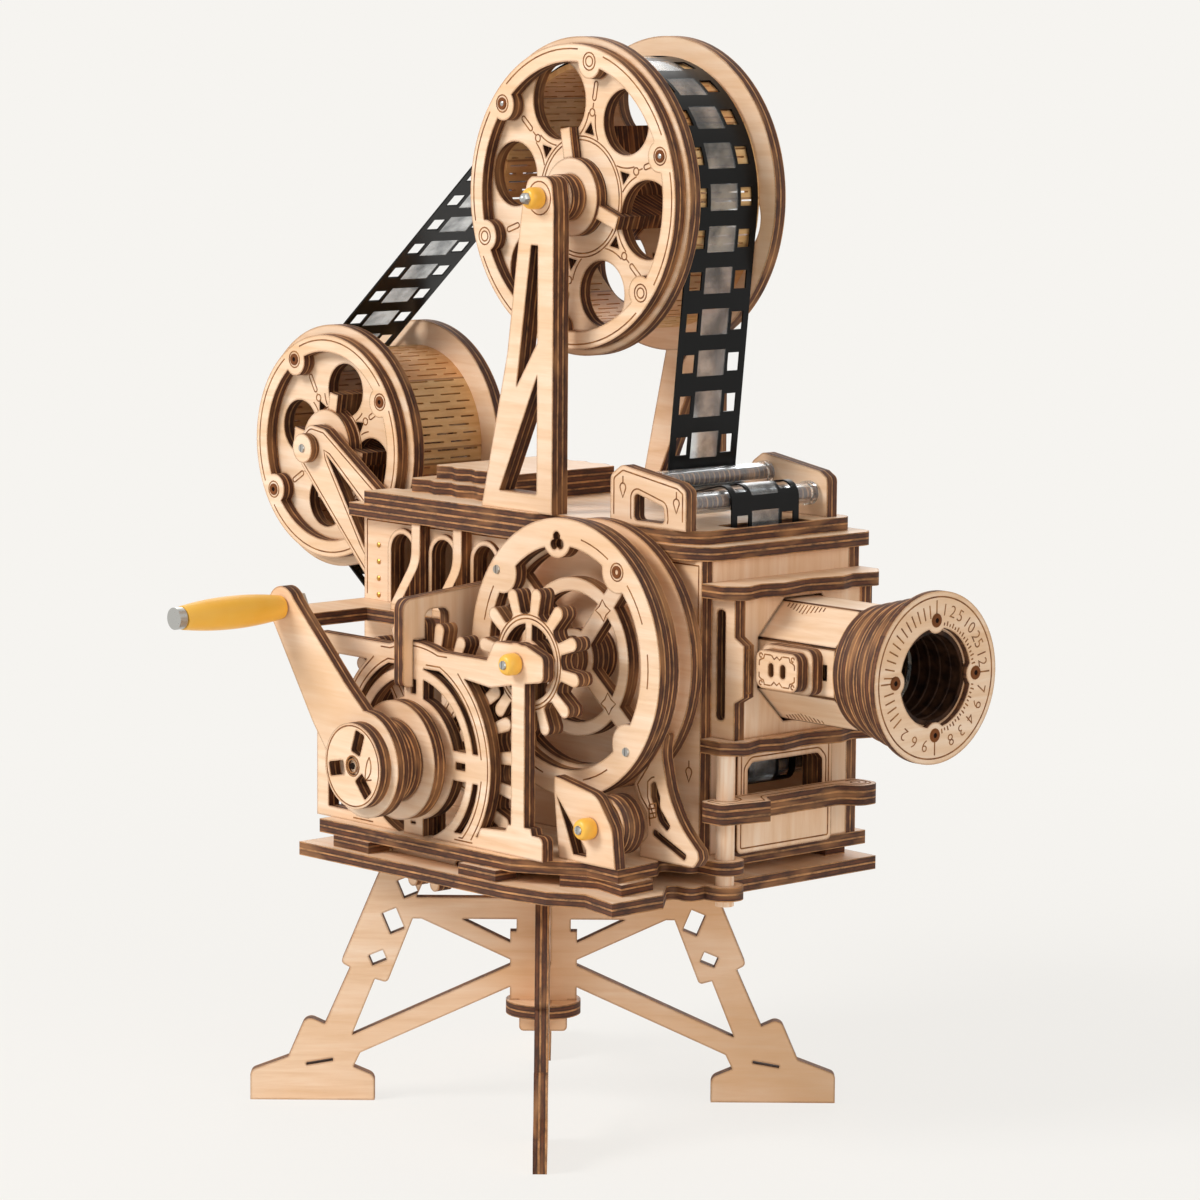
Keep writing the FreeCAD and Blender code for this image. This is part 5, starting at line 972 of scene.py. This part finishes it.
class PROJECTOR_OT_lens(bpy.types.Operator):
    """Build the barrel's panels round its core, a tube of painted shade in its bore and the numbered dial"""
    bl_idname = "projector.lens"
    bl_label = "Build the lens"
    numbers = (("1", 80), ("2", 70), ("5", 60), ("10", 46), ("25", 29), ("12", 12), ("7", -14), ("9", -28),
               ("4", -42), ("3", -56), ("8", -70), ("9", 258), ("6", 244), ("2", 230))

    def barrel(self):
        """Eight separate panels round an eight-sided core."""
        back, across, thick = 57.0, 25.5 / 2, 2.2
        eighth = math.radians(22.5)
        core = [polar(0.0, 0.0, (across - thick) / math.cos(eighth), 22.5 + 45 * i) for i in range(8)]

        def core_place(u, v, w):
            return spot(back + w, LENS[0] + u, LENS[1] + v)

        meshes = [flat_mesh("core", [core, circle_points(0.0, 0.0, 10.0, 64)], 26.0, core_place, "front", 9.0)]
        half = across * math.tan(eighth) - 0.35
        for i in range(8):
            out = math.radians(45 * i)
            way, wide = Vector((0, math.cos(out), math.sin(out))), Vector((0, -math.sin(out), math.cos(out)))

            def panel_place(u, v, w, way=way, wide=wide):
                return spot(*(Vector((back + u, *LENS)) + way * (across - thick + w) + wide * v))

            loops = [[(0.0, -half), (25.7, -half), (25.7, half), (0.0, half)]]
            if i == 4:
                loops.append([(20.4, -1.7), (23.6, -1.7), (23.6, 1.7), (20.4, 1.7)])
            meshes.append(flat_mesh("panel", loops, thick, panel_place, "panel", float(i)))
        mesh = joined("lens_barrel_panels", meshes)
        new_piece("lens_barrel_panels", mesh, "lens", "plywood", "lens_barrel")["ply_start"] = 0.0

    def bore_shade_tube(self):
        """Tube of painted shade in the bore, stepped like the rings round it."""
        steps = [(83.1, 9.2)]
        for i in range(5):
            start = 83.2 + 3.0 * i
            steps += [(start, 9.35), (start + 2.4, 9.6), (start + 2.5, 9.05), (start + 2.9, 9.05)]
        steps += [(98.1, 9.5), (98.1, 9.98), (83.1, 9.98)]

        def place(x, u, v):
            return spot(x, LENS[0] + u, LENS[1] + v)

        mesh = mesh_of("lens_lining", lambda work: revolve(work, steps, place, closed=True), "bore_shade", sharp=35.0)
        new_piece("lens_lining", mesh, "lens", "plywood")

    def dial(self):
        """Plate whose bore narrows at four round lobes."""
        bore = []
        for i in range(180):
            off = math.radians((2.0 * i + 45) % 90 - 45)
            radius = 10.5
            reach = 2.7 ** 2 - (DIAL_EYELETS * math.sin(off)) ** 2
            if reach > 0:
                radius = min(radius, DIAL_EYELETS * math.cos(off) - math.sqrt(reach))
            bore.append(polar(*LENS, radius, 2.0 * i))
        mesh = flat_mesh("lens_dial_plate", [circle_points(*LENS, 18.1, 96), bore], 1.5, Face("front", 98.0).at,
                         "panel", 3.0)
        new_piece("lens_dial_plate", mesh, BODY_OF["lens_dial"], "plywood", "lens_dial")

    def dial_numbers(self, size):
        """Plain numbers round the dial, each standing on its own radius."""
        meshes = []
        for text, degrees in self.numbers:
            curve = bpy.data.curves.new("number", "FONT")
            curve.body = text
            curve.size = size
            curve.align_x = curve.align_y = "CENTER"
            curve.extrude = 0.04
            curve.offset = -0.05
            curve.resolution_u = 3
            mesh = plain_mesh("number", linked("number", curve))
            turn = Matrix.Rotation(math.radians(degrees - 90), 4, "Z")
            centre = polar(*LENS, 14.1, degrees)
            for vert in mesh.vertices:
                u, v, w = turn @ vert.co
                vert.co = DIAL.at(centre[0] + u, centre[1] + v, w + 0.02)
            mesh.materials.clear()
            mesh.materials.append(MATERIALS["line"])
            meshes.append(mesh)
        new_piece("lens_dial_numbers", joined("lens_dial_numbers", meshes), BODY_OF["lens_dial"], "plywood")

    def execute(self, context):
        self.barrel()
        self.bore_shade_tube()
        self.dial()
        self.dial_numbers(context.scene.projector_sizes.number_size / MM)
        return {"FINISHED"}


def turned(name, profiles, centre, body, slot, key, *nodes, **fields):
    """Piece of shapes turned about a line along y, from (y, radius) profiles."""
    def place(y, u, v):
        return spot(centre[0] + u, y, centre[1] + v)

    def build(work):
        for profile in profiles:
            revolve(work, profile, place, **fields)

    return new_piece(name, mesh_of(name, build, key, sharp=35.0), body, slot, *nodes)


class PROJECTOR_OT_guides(bpy.types.Operator):
    """Turn the clear guide tubes with their collars"""
    bl_idname = "projector.guides"
    bl_label = "Turn the guide tubes"

    def execute(self, context):
        collar = ((0.0, 1.5), (0.0, 2.3), (0.3, GUIDE_RADIUS), (1.8, GUIDE_RADIUS), (2.1, 2.3))
        for name, centre in GUIDES.items():
            low, high = GUIDE_ENDS[name]
            profile = [(low + y, r) for y, r in collar] + [(high - y, r) for y, r in reversed(collar)]
            turned("guide_tube_" + name, [profile], centre, name + "_guide", "clear_plastic", "tube",
                   "guide_roller_" + name, closed=True)
        return {"FINISHED"}


class PROJECTOR_OT_shafts(bpy.types.Operator):
    """Turn the flywheel's shaft, the idler and the yellow caps of all three"""
    bl_idname = "projector.shafts"
    bl_label = "Turn the shafts and caps"

    def cap(self, front, back, radius=CAP_RADIUS):
        """Rounded cap from its outer end to the end that meets the wood."""
        way = 1.0 if back > front else -1.0
        shape = ((0.0, 0.45), (0.08, 0.68), (0.4, 0.85), (0.9, 0.95), (1.6, 1.0))
        return ([(front, 0.0)] + [(front + depth * way, part * radius) for depth, part in shape]
                + [(back - 0.4 * way, radius), (back, 0.93 * radius), (back, 0.0)])

    def stack(self, low, high, radius):
        """Stack of round sheets, each with a fine groove to the next."""
        profile = [(low, 0.0), (low, radius)]
        count = max(1, round((high - low) / SHEET))
        for i in range(1, count):
            y = low + (high - low) * i / count
            profile += [(y - 0.08, radius), (y, radius - 0.12), (y + 0.08, radius)]
        return profile + [(high, radius), (high, 0.0)]

    def rod(self, low, high, radius=2.0):
        return [(low, 0.0), (low, radius), (high, radius), (high, 0.0)]

    def execute(self, context):
        body = "flywheel_shaft"
        turned("flywheel_rod", [self.rod(-38.0, 44.2)], SHAFT, body, "round_wood", "rod")
        hubs = [self.stack(-27.5, -18.5, 4.5), self.stack(-15.5, -11.6, 6.0), self.stack(9.75, 25.75, SPROCKET_RADIUS)]
        turned("flywheel_hubs", hubs, SHAFT, body, "plywood", "side", "main_shaft")["ply_start"] = -27.5 + ORIGIN.y
        caps = [self.cap(-38.6, -35.2), self.cap(44.85, 41.45)]
        turned("flywheel_caps", caps, SHAFT, body, "yellow_plastic", "yellow")
        turned("idler_rod", [self.rod(-31.8, -18.5)], IDLER, "idler", "round_wood", "rod")
        turned("idler_cap", [self.cap(-32.6, -29.2)], IDLER, "idler", "yellow_plastic", "yellow")
        loops = [circle_points(*IDLER, 6.4, 64)]
        loops += [circle_points(*polar(*IDLER, 4.3, 45 + 90 * i), 0.7, 16) for i in range(4)]
        mesh = flat_mesh("idler_wheel_sheets", loops, 2 * SHEET, Face("near", -19.5).at, "side")
        new_piece("idler_wheel_sheets", mesh, "idler", "plywood", "idler_wheel")["ply_start"] = -25.5 + ORIGIN.y
        body = BODY_OF["upper_reel_caps"]
        caps = [self.cap(-12.2, -8.6, 2.4), self.cap(47.7, 44.1, 2.4)]
        turned("upper_reel_cap_pair", caps, UPPER_REEL, body, "yellow_plastic", "yellow", "upper_reel_caps")
        tips = [[(-13.9, 0.0), (-13.6, 0.7), (-12.6, 1.4), (-11.9, 1.45), (-11.9, 0.0)],
                [(48.9, 0.0), (48.4, 0.9), (47.6, 1.25), (47.6, 0.0)]]
        turned("upper_reel_tips", tips, UPPER_REEL, body, "steel", "steel", segments=6)
        return {"FINISHED"}


class PROJECTOR_OT_lines(bpy.types.Operator):
    """Burn the laser's lines into the sheets of every body"""
    bl_idname = "projector.lines"
    bl_label = "Burn the lines"
    # CAD nodes whose edges have a line beside them: the face, the inset, and where it is wanted
    insets = (
        ("upper_reel_flange_far", FLANGE_BACK, 1.3),
        ("lower_reel_flange_far", FLANGE_BACK, 1.3),
        ("gear_frame", FRAME, 0.9, lambda u, v: 21.0 < math.dist((u, v), CRANK) < 26.0),
        ("reel_brackets", BRACKET, 0.9),
        ("reel_brackets", Face("far", 39.5), 0.9),
        ("buttress", BUTTRESS, 1.0, lambda u, v: u < 50.0 and v > 70.0),
        ("window_frame", Face("front", 57.0), 1.1),
        ("handrail", HANDRAIL, 1.2),
        ("arch_corbels", Face("near", -14.75), 0.8),
        ("guide_frame", GUIDE_NEAR, 1.1),
        ("guide_frame", GUIDE_FAR, 1.1),
        ("wall_near", WALL, 1.0, lambda u, v: v > 108.0),
        ("wall_far", FAR_WALL, 1.2),
        ("housing_sides", Face("front", 63.7), 0.9),
        ("flywheel_disc", Face("far", -8.6), 1.2),
        ("crank_gear", GEARS, 0.9, lambda u, v: math.dist((u, v), CRANK) < 23.0),
    )

    def reel(self, marks, reel):
        """Ring between the bosses, a slot with its dot and stalk under each boss, and the hub's rings."""
        place, bosses = reel["place"], reel["bosses"]
        inner, outer = reel["slot"]
        margin, half = 7.36, 0.55
        for start in bosses:
            marks.line(RING, arc_points(*place, reel["rim"], start + margin, start + bosses.step - margin))
            marks.circles(RING, polar(*place, reel["boss_r"], start), 1.9, 1.1)
            slot = [point for radius, turn in ((outer - half, start - 90), (inner + half, start + 90))
                    for point in arc_points(*polar(*place, radius, start), half, turn, turn + 180, 30)]
            marks.line(FLANGE, slot, closed=True)
            marks.circles(FLANGE, polar(*place, reel["dot"], start), 0.8)
            marks.line(FLANGE, [polar(*place, reel["dot"] + 1.0, start), polar(*place, inner - 0.5, start)])
        marks.circles(FLANGE, place, *reel["hub"])
        away, turn, count = reel["centres"]
        for k in range(count):
            out = turn + 360 / count * k
            centre = polar(*place, away, out)
            arc = [polar(*centre, reel["arch"], out + degrees) for degrees in range(60, 302, 3)]
            kept = [p for p in arc if reel["hub"][1] + 0.3 < math.dist(p, place) < reel["dot"] + 0.2]
            for part in (kept[:len(kept) // 2], kept[len(kept) // 2:]):
                if len(part) > 2:
                    marks.line(FLANGE, part)

    def motifs(self, marks):
        """Small drops beside the guide panel's window and on the wall, the buttress's ladder and the rail's curl."""
        beside_window = ((30.4, 140.4), (47.0, 138.4))
        for face, places in ((GUIDE_NEAR, beside_window), (GUIDE_FAR, beside_window), (WALL, ((50.6, 81.5),))):
            for u, v in places:
                marks.line(face, [(u, v - 2.2)] + arc_points(u, v, 0.9, -35, 215, 25), closed=True)
                marks.line(face, [(u, v + 0.9), (u, v + 2.4)])
        left, right = (48.3, 72.2), (50.4, 72.8)
        for i in range(4):
            marks.line(BUTTRESS, [(left[0], left[1] + i), (right[0], right[1] + i)])
        for u, v in (left, right):
            marks.line(BUTTRESS, [(u, v), (u, v + 3.0)])
        marks.line(HANDRAIL, [polar(62.0, 33.4, 0.5 + 2.1 * i / 20, 28 * i) for i in range(21)])

    def wheel(self, marks):
        """Arcs on the flywheel's ring, its lug, the stars on its spokes and the rings round the pinion."""
        radius, lug = WHEEL_LUG
        for start, end in ((78.6, 58.7), (41.7, 21.9), (-104, -111), (168, 150), (-58, -76), (-150, -132), (-8, 8)):
            marks.line(WHEEL, arc_points(*SHAFT, 26.2, start, end))
        marks.circles(WHEEL, polar(*SHAFT, radius, lug), 1.9, 1.2)
        for i in range(4):
            middle = polar(*SHAFT, 14.0, lug + 90 * i)
            marks.line(SPOKES, [polar(*middle, (2.3, 1.35)[k % 2], lug + 45 + 45 * k) for k in range(8)], closed=True)
        marks.circles(GEARS, SHAFT, 9.3, 10.1)

    def leaf(self, marks):
        """Small leaf on the crank's disc: two bent sides and a stalk."""
        tip, root = Vector((0.6, 83.1)), Vector((-0.8, 77.9))
        shares = [i / 8 for i in range(9)]
        for bend in (Vector((2.2, 79.7)), Vector((-0.8, 81.5))):
            marks.line(CRANK_DISC, [tip * (1 - s) ** 2 + bend * 2 * s * (1 - s) + root * s ** 2 for s in shares])
        marks.line(CRANK_DISC, [root, (1.3, 78.3)])

    def knob(self, marks):
        """Line round the focus knob that curls in at its corners and dips at its middles."""
        face = Face("near", -1.0)
        u, v, half_u, half_v = 71.8, 105.0, 5.2, 3.2
        curl = ((-3.4, 0.0), (-1.6, 0.0), (-1.3, -0.9), (-0.6, -1.1), (0.0, -1.5), (0.0, -2.5))
        dip = ((-1.6, 0.0), (-0.8, 0.8), (0.0, 0.2), (0.8, 0.8), (1.6, 0.0))
        for side in (-1, 1):
            for level in (-1, 1):
                at_u, at_v = u + side * half_u, v + level * half_v
                marks.line(face, [(at_u + side * du, at_v + level * dv) for du, dv in curl])
                marks.line(face, arc_points(at_u - side * 0.5, at_v - level * 0.3, 0.45, 0, 300, 40))
            marks.line(face, [(u + du, v + side * (half_v - dv)) for du, dv in dip])

    def dial(self, marks):
        """Circle and tick marks of the dial."""
        def tick(inner, outer, degrees):
            marks.line(DIAL, [polar(*LENS, inner, degrees), polar(*LENS, outer, degrees)])

        marks.circles(DIAL, LENS, 16.9)
        for i in range(4):
            marks.circles(DIAL, polar(*LENS, DIAL_EYELETS, 90 * i), 1.35)
            tick(13.4, 16.2, 90 * i)
        for degrees in range(98, 222, 7):
            if abs(degrees - 180) > 4:
                tick(12.6, 15.4, degrees)
        for i in range(40):
            degrees = -84 + 4.5 * i
            if abs((degrees + 45) % 90 - 45) > 10:
                tick(11.0, 12.0 if i % 2 else 11.6, degrees)

    def barrel(self, marks):
        """Row of short strokes on four of the barrel's panels, longest at its middle."""
        for out, side in ((135, -1), (225, 1), (45, 1), (315, -1)):
            turn = math.radians(out)
            way = Vector((0, math.cos(turn), math.sin(turn)))
            wide = Vector((0, -math.sin(turn), math.cos(turn))) * side
            for i in range(11):
                edge = Vector((62.5 + 1.05 * i, *LENS)) + way * 12.75 + wide * 4.6
                stroke = 1.0 + 0.28 * (5 - abs(i - 5))
                marks.chain([spot(*edge), spot(*(edge - wide * stroke))], way)

    def execute(self, context):
        sizes = context.scene.projector_sizes
        bodies = {body: Marks() for body in BODIES}
        for reel in REELS:
            self.reel(bodies[reel["name"]], reel)
        for node, face, inset, *wanted in self.insets:
            for chain, closed in inset_chains(node, face, inset, *wanted):
                bodies[BODY_OF[node]].line(face, chain, closed)
        bodies["body"].circles(Face("near", -8.4), UPPER_REEL, 3.6)
        bodies["body"].circles(BRACKET, LOWER_REEL, 2.5)
        bodies["crank"].circles(CRANK_DISC, CRANK, 8.7, 2.2, 1.5)
        bodies["idler"].circles(Face("near", -25.5), IDLER, 5.6, 3.6)
        self.motifs(bodies["body"])
        self.wheel(bodies["flywheel_shaft"])
        self.leaf(bodies["crank"])
        self.dial(bodies[BODY_OF["lens_dial"]])
        self.barrel(bodies["lens"])
        self.knob(bodies["lens"])
        tree = line_tree()
        for body, marks in bodies.items():
            if marks.points:
                name = "burnt_lines_" + body
                mesh = grown(name, marks, tree, Width=sizes.line_width, Depth=sizes.line_depth,
                             Material=MATERIALS["line"])
                new_piece(name, mesh, body, "plywood")
        return {"FINISHED"}


class PROJECTOR_OT_fasteners(bpy.types.Operator):
    """Set the screws, pins and eyelets into the sheets"""
    bl_idname = "projector.fasteners"
    bl_label = "Set the fasteners"
    # profile of (height, radius), segments, whether it is a ring, finish and slot
    pin = ((-0.05, 0.0), (-0.05, 0.6), (0.2, 0.6), (0.35, 0.35), (0.35, 0.0))
    kinds = {
        "screw": (((-0.05, 0.0), (-0.05, 1.0), (0.12, 1.0), (0.12, 0.0)), 16, False, "steel", "steel"),
        "eyelet": (((-0.05, 0.55), (-0.05, 1.35), (0.22, 1.35), (0.3, 1.15), (0.3, 0.75), (0.22, 0.55)), 24, True,
                   "burnt", "plywood"),
        # painted shade: a thin dark disc where a small hole lies in shade
        "dimple": (((-0.05, 0.0), (-0.05, 0.75), (0.05, 0.75), (0.05, 0.0)), 20, False, "hole", "plywood"),
        "pin": (pin, 12, False, "brass", "steel"),
        "rivet": (pin, 12, False, "steel", "steel"),
    }

    def half_rounds(self, work):
        """Two halves of a slotted screw head."""
        for side in (1, -1):
            points = [(0.11 * side, -0.95), (0.11 * side, 0.95)]
            points += [(side * u, v) for u, v in (polar(0.0, 0.0, 0.97, degrees) for degrees in range(75, -76, -25))]
            low = [work.verts.new(Vector((u, v, 0.12)) * MM) for u, v in points]
            high = [work.verts.new(Vector((u * 0.9, v * 0.9, 0.4)) * MM) for u, v in points]
            work.faces.new(low)
            work.faces.new(high)
            for i in range(len(points)):
                j = (i + 1) % len(points)
                work.faces.new((low[i], low[j], high[j], high[i]))

    def part(self, kind):
        """One fastener about its own axis, at the origin."""
        profile, segments, ring, _, _ = self.kinds[kind]

        def build(work):
            if kind == "screw":
                self.half_rounds(work)
            revolve(work, profile, lambda height, u, v: Vector((u, v, height)) * MM, segments, ring, smooth=False)

        return linked(kind, mesh_of(kind, build))

    def execute(self, context):
        sets = {}

        def put(kind, body, face, centre):
            sets.setdefault((kind, body), Marks()).chain([face.at(*centre)], face.out)

        for reel in REELS:
            name = reel["name"]
            for degrees in reel["bosses"]:
                place = polar(*reel["place"], reel["boss_r"], degrees)
                if degrees in reel["screws"]:
                    put("eyelet", name, RING, place)
                    # the dark discs below are painted shade in the bosses' holes
                    put("rivet" if name == "upper_reel" else "dimple", name, RING, place)
                put("dimple", name, FLANGE_BACK, place)
        shaft = "flywheel_shaft"
        put("screw", shaft, WHEEL, polar(*SHAFT, 27.4, 142.2))
        put("screw", shaft, WHEEL, polar(*SHAFT, 26.5, -42.0))
        put("eyelet", shaft, WHEEL, polar(*SHAFT, *WHEEL_LUG))
        put("screw", shaft, Face("near", -38.6), SHAFT)
        put("screw", shaft, Face("far", 44.85), SHAFT)
        put("screw", "idler", Face("near", -32.6), IDLER)
        # dark disc of painted shade in the crank disc's centre hole
        put("dimple", "crank", CRANK_DISC, CRANK)
        for side, corner in zip(("near", "far"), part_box("lower_reel_axle")):
            put("screw", "lower_reel", Face(side, corner.y / MM - ORIGIN.y), LOWER_REEL)
        for i in range(4):
            # dark disc of painted shade in each dial eyelet's hole
            for kind in ("eyelet", "dimple"):
                put(kind, BODY_OF["lens_dial"], DIAL, polar(*LENS, DIAL_EYELETS, 90 * i))
            put("pin", "body", WALL, (-51.9, 120.1 - 3.8 * i))
        tree = fastener_tree()
        for (kind, body), marks in sets.items():
            key, slot = self.kinds[kind][3:]
            part = self.part(kind)
            name = kind + "s_" + body
            mesh = grown(name, marks, tree, Fastener=part, Material=MATERIALS[key])
            bpy.data.objects.remove(part)
            new_piece(name, mesh, body, slot)
        return {"FINISHED"}


# Stage

def camera_matrix(style):
    """Place and turn of the camera, from its azimuth, elevation and roll."""
    across, forth = math.cos(style.elevation), math.sin(style.elevation)
    forward = Vector((-math.sin(style.azimuth) * across, math.cos(style.azimuth) * across, -forth))
    right = Vector((math.cos(style.azimuth), math.sin(style.azimuth), 0))
    up = right.cross(forward)
    cos, sin = math.cos(style.roll), math.sin(style.roll)
    matrix = Matrix((right * cos + up * sin, up * cos - right * sin, -forward)).transposed().to_4x4()
    matrix.translation = style.camera_place
    return matrix


def direct_view(tree):
    """1 for what the camera sees, also by way of metal and glass, and 0 for what lights the object."""
    path = add(tree, "LightPath", give=None).outputs
    bounced = add(tree, "Math", (path["Is Glossy Ray"], path["Is Transmission Ray"]), operation="MAXIMUM")
    return add(tree, "Math", (path["Is Camera Ray"], bounced), operation="MAXIMUM")


def floor_paper(style):
    """Studio paper: evenly pale to the camera, with a share of its real shading near the object for the shadow."""
    mat, tree = new_material("studio_paper")
    point = object_mm(tree)
    tone = add(tree, "TexNoise", {"Vector": point, "Scale": 0.004, "Detail": 2.0}, "Fac")
    tone = add(tree, "ValToRGB", (tone,), stops=((0.3, style.paper), (0.7, style.paper_pale)))
    shader = add(tree, "BsdfPrincipled", {"Base Color": tone, "Roughness": 0.9, "Specular IOR Level": 0.0})
    even = add(tree, "Emission", {"Color": style.backdrop, "Strength": 1.0})
    away = add(tree, "VectorMath", (point,), "Value", operation="LENGTH")
    part = add(tree, "MapRange", (away, style.shadow_near / MM, style.shadow_far / MM, 1.0 - style.shadow_share, 1.0))
    part = add(tree, "Math", (direct_view(tree), part), operation="MULTIPLY")
    add(tree, "OutputMaterial", (add(tree, "MixShader", (part, shader, even)),))
    return mat


class PROJECTOR_OT_stage(bpy.types.Operator):
    """Place the camera, the lights and the floor"""
    bl_idname = "projector.stage"
    bl_label = "Set the stage"

    def lamp(self, name, place, size, watts, code):
        data = bpy.data.lights.new(name, "AREA")
        data.shape = "DISK"
        data.size = size
        data.energy = watts
        data.color = linear(code)[:3]
        lamp = linked(name, data)
        lamp.location = place
        lamp.rotation_euler = (Vector((0, 0, 0.12)) - lamp.location).to_track_quat("-Z", "Y").to_euler()

    def execute(self, context):
        scene = context.scene
        style = scene.projector_stage
        camera = linked("camera", bpy.data.cameras.new("camera"))
        camera.data.sensor_width = 36.0
        camera.data.lens = style.lens
        camera.data.clip_start = 0.05
        camera.data.clip_end = 100.0
        camera.matrix_world = camera_matrix(style)
        scene.camera = camera
        self.lamp("key", (-0.55, -1.55, 1.25), 0.9, style.key_power, "#fffdfb")
        self.lamp("fill", (1.9, -0.3, 0.9), 1.4, style.fill_power, "#fffaf4")
        self.lamp("back", (-1.2, 1.6, 1.0), 1.4, style.back_power, "#ffffff")
        reach = 30.0
        mesh = bpy.data.meshes.new("floor")
        mesh.from_pydata([(-reach, -reach, 0), (reach, -reach, 0), (reach, reach, 0), (-reach, reach, 0)],
                         [], [(0, 1, 2, 3)])
        mesh.materials.append(floor_paper(style))
        floor = linked("floor", mesh)
        world = bpy.data.worlds.new("studio")
        scene.world = world
        world.use_nodes = True
        tree = world.node_tree
        tree.nodes.clear()
        lit = add(tree, "Background", {"Color": (1, 1, 1, 1), "Strength": style.sky})
        seen = add(tree, "Background", {"Color": style.backdrop, "Strength": 1.0})
        add(tree, "OutputWorld", (add(tree, "MixShader", (direct_view(tree), lit, seen)),))
        scene.view_settings.view_transform = "Standard"
        return {"FINISHED"}


class PROJECTOR_PT_panel(bpy.types.Panel):
    """Settings and steps of the projector kit"""
    bl_label = "Projector kit"
    bl_idname = "PROJECTOR_PT_panel"
    bl_space_type = "VIEW_3D"
    bl_region_type = "UI"
    bl_category = "Projector"

    def draw(self, context):
        for title, kind in SETTINGS.items():
            box = self.layout.box()
            for name in kind.__annotations__:
                box.prop(getattr(context.scene, title), name)
        for step in STEPS:
            self.layout.operator(step.bl_idname)


STEPS = (PROJECTOR_OT_sheets, PROJECTOR_OT_drums, PROJECTOR_OT_film, PROJECTOR_OT_lens, PROJECTOR_OT_guides,
         PROJECTOR_OT_shafts, PROJECTOR_OT_lines, PROJECTOR_OT_fasteners, PROJECTOR_OT_stage)
SETTINGS = {"projector_looks": ProjectorLooks, "projector_sizes": ProjectorSizes, "projector_stage": ProjectorStage}
CLASSES = tuple(SETTINGS.values()) + STEPS + (PROJECTOR_PT_panel,)


def register():
    for cls in CLASSES:
        bpy.utils.register_class(cls)
    for name, group in SETTINGS.items():
        setattr(bpy.types.Scene, name, bpy.props.PointerProperty(type=group))


def unregister():
    for name in SETTINGS:
        delattr(bpy.types.Scene, name)
    for cls in reversed(CLASSES):
        bpy.utils.unregister_class(cls)


def main():
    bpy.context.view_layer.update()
    register()
    for step in STEPS:
        group, name = step.bl_idname.split(".")
        getattr(getattr(bpy.ops, group), name)()
    bpy.context.view_layer.update()


if __name__ == "__main__":
    main()
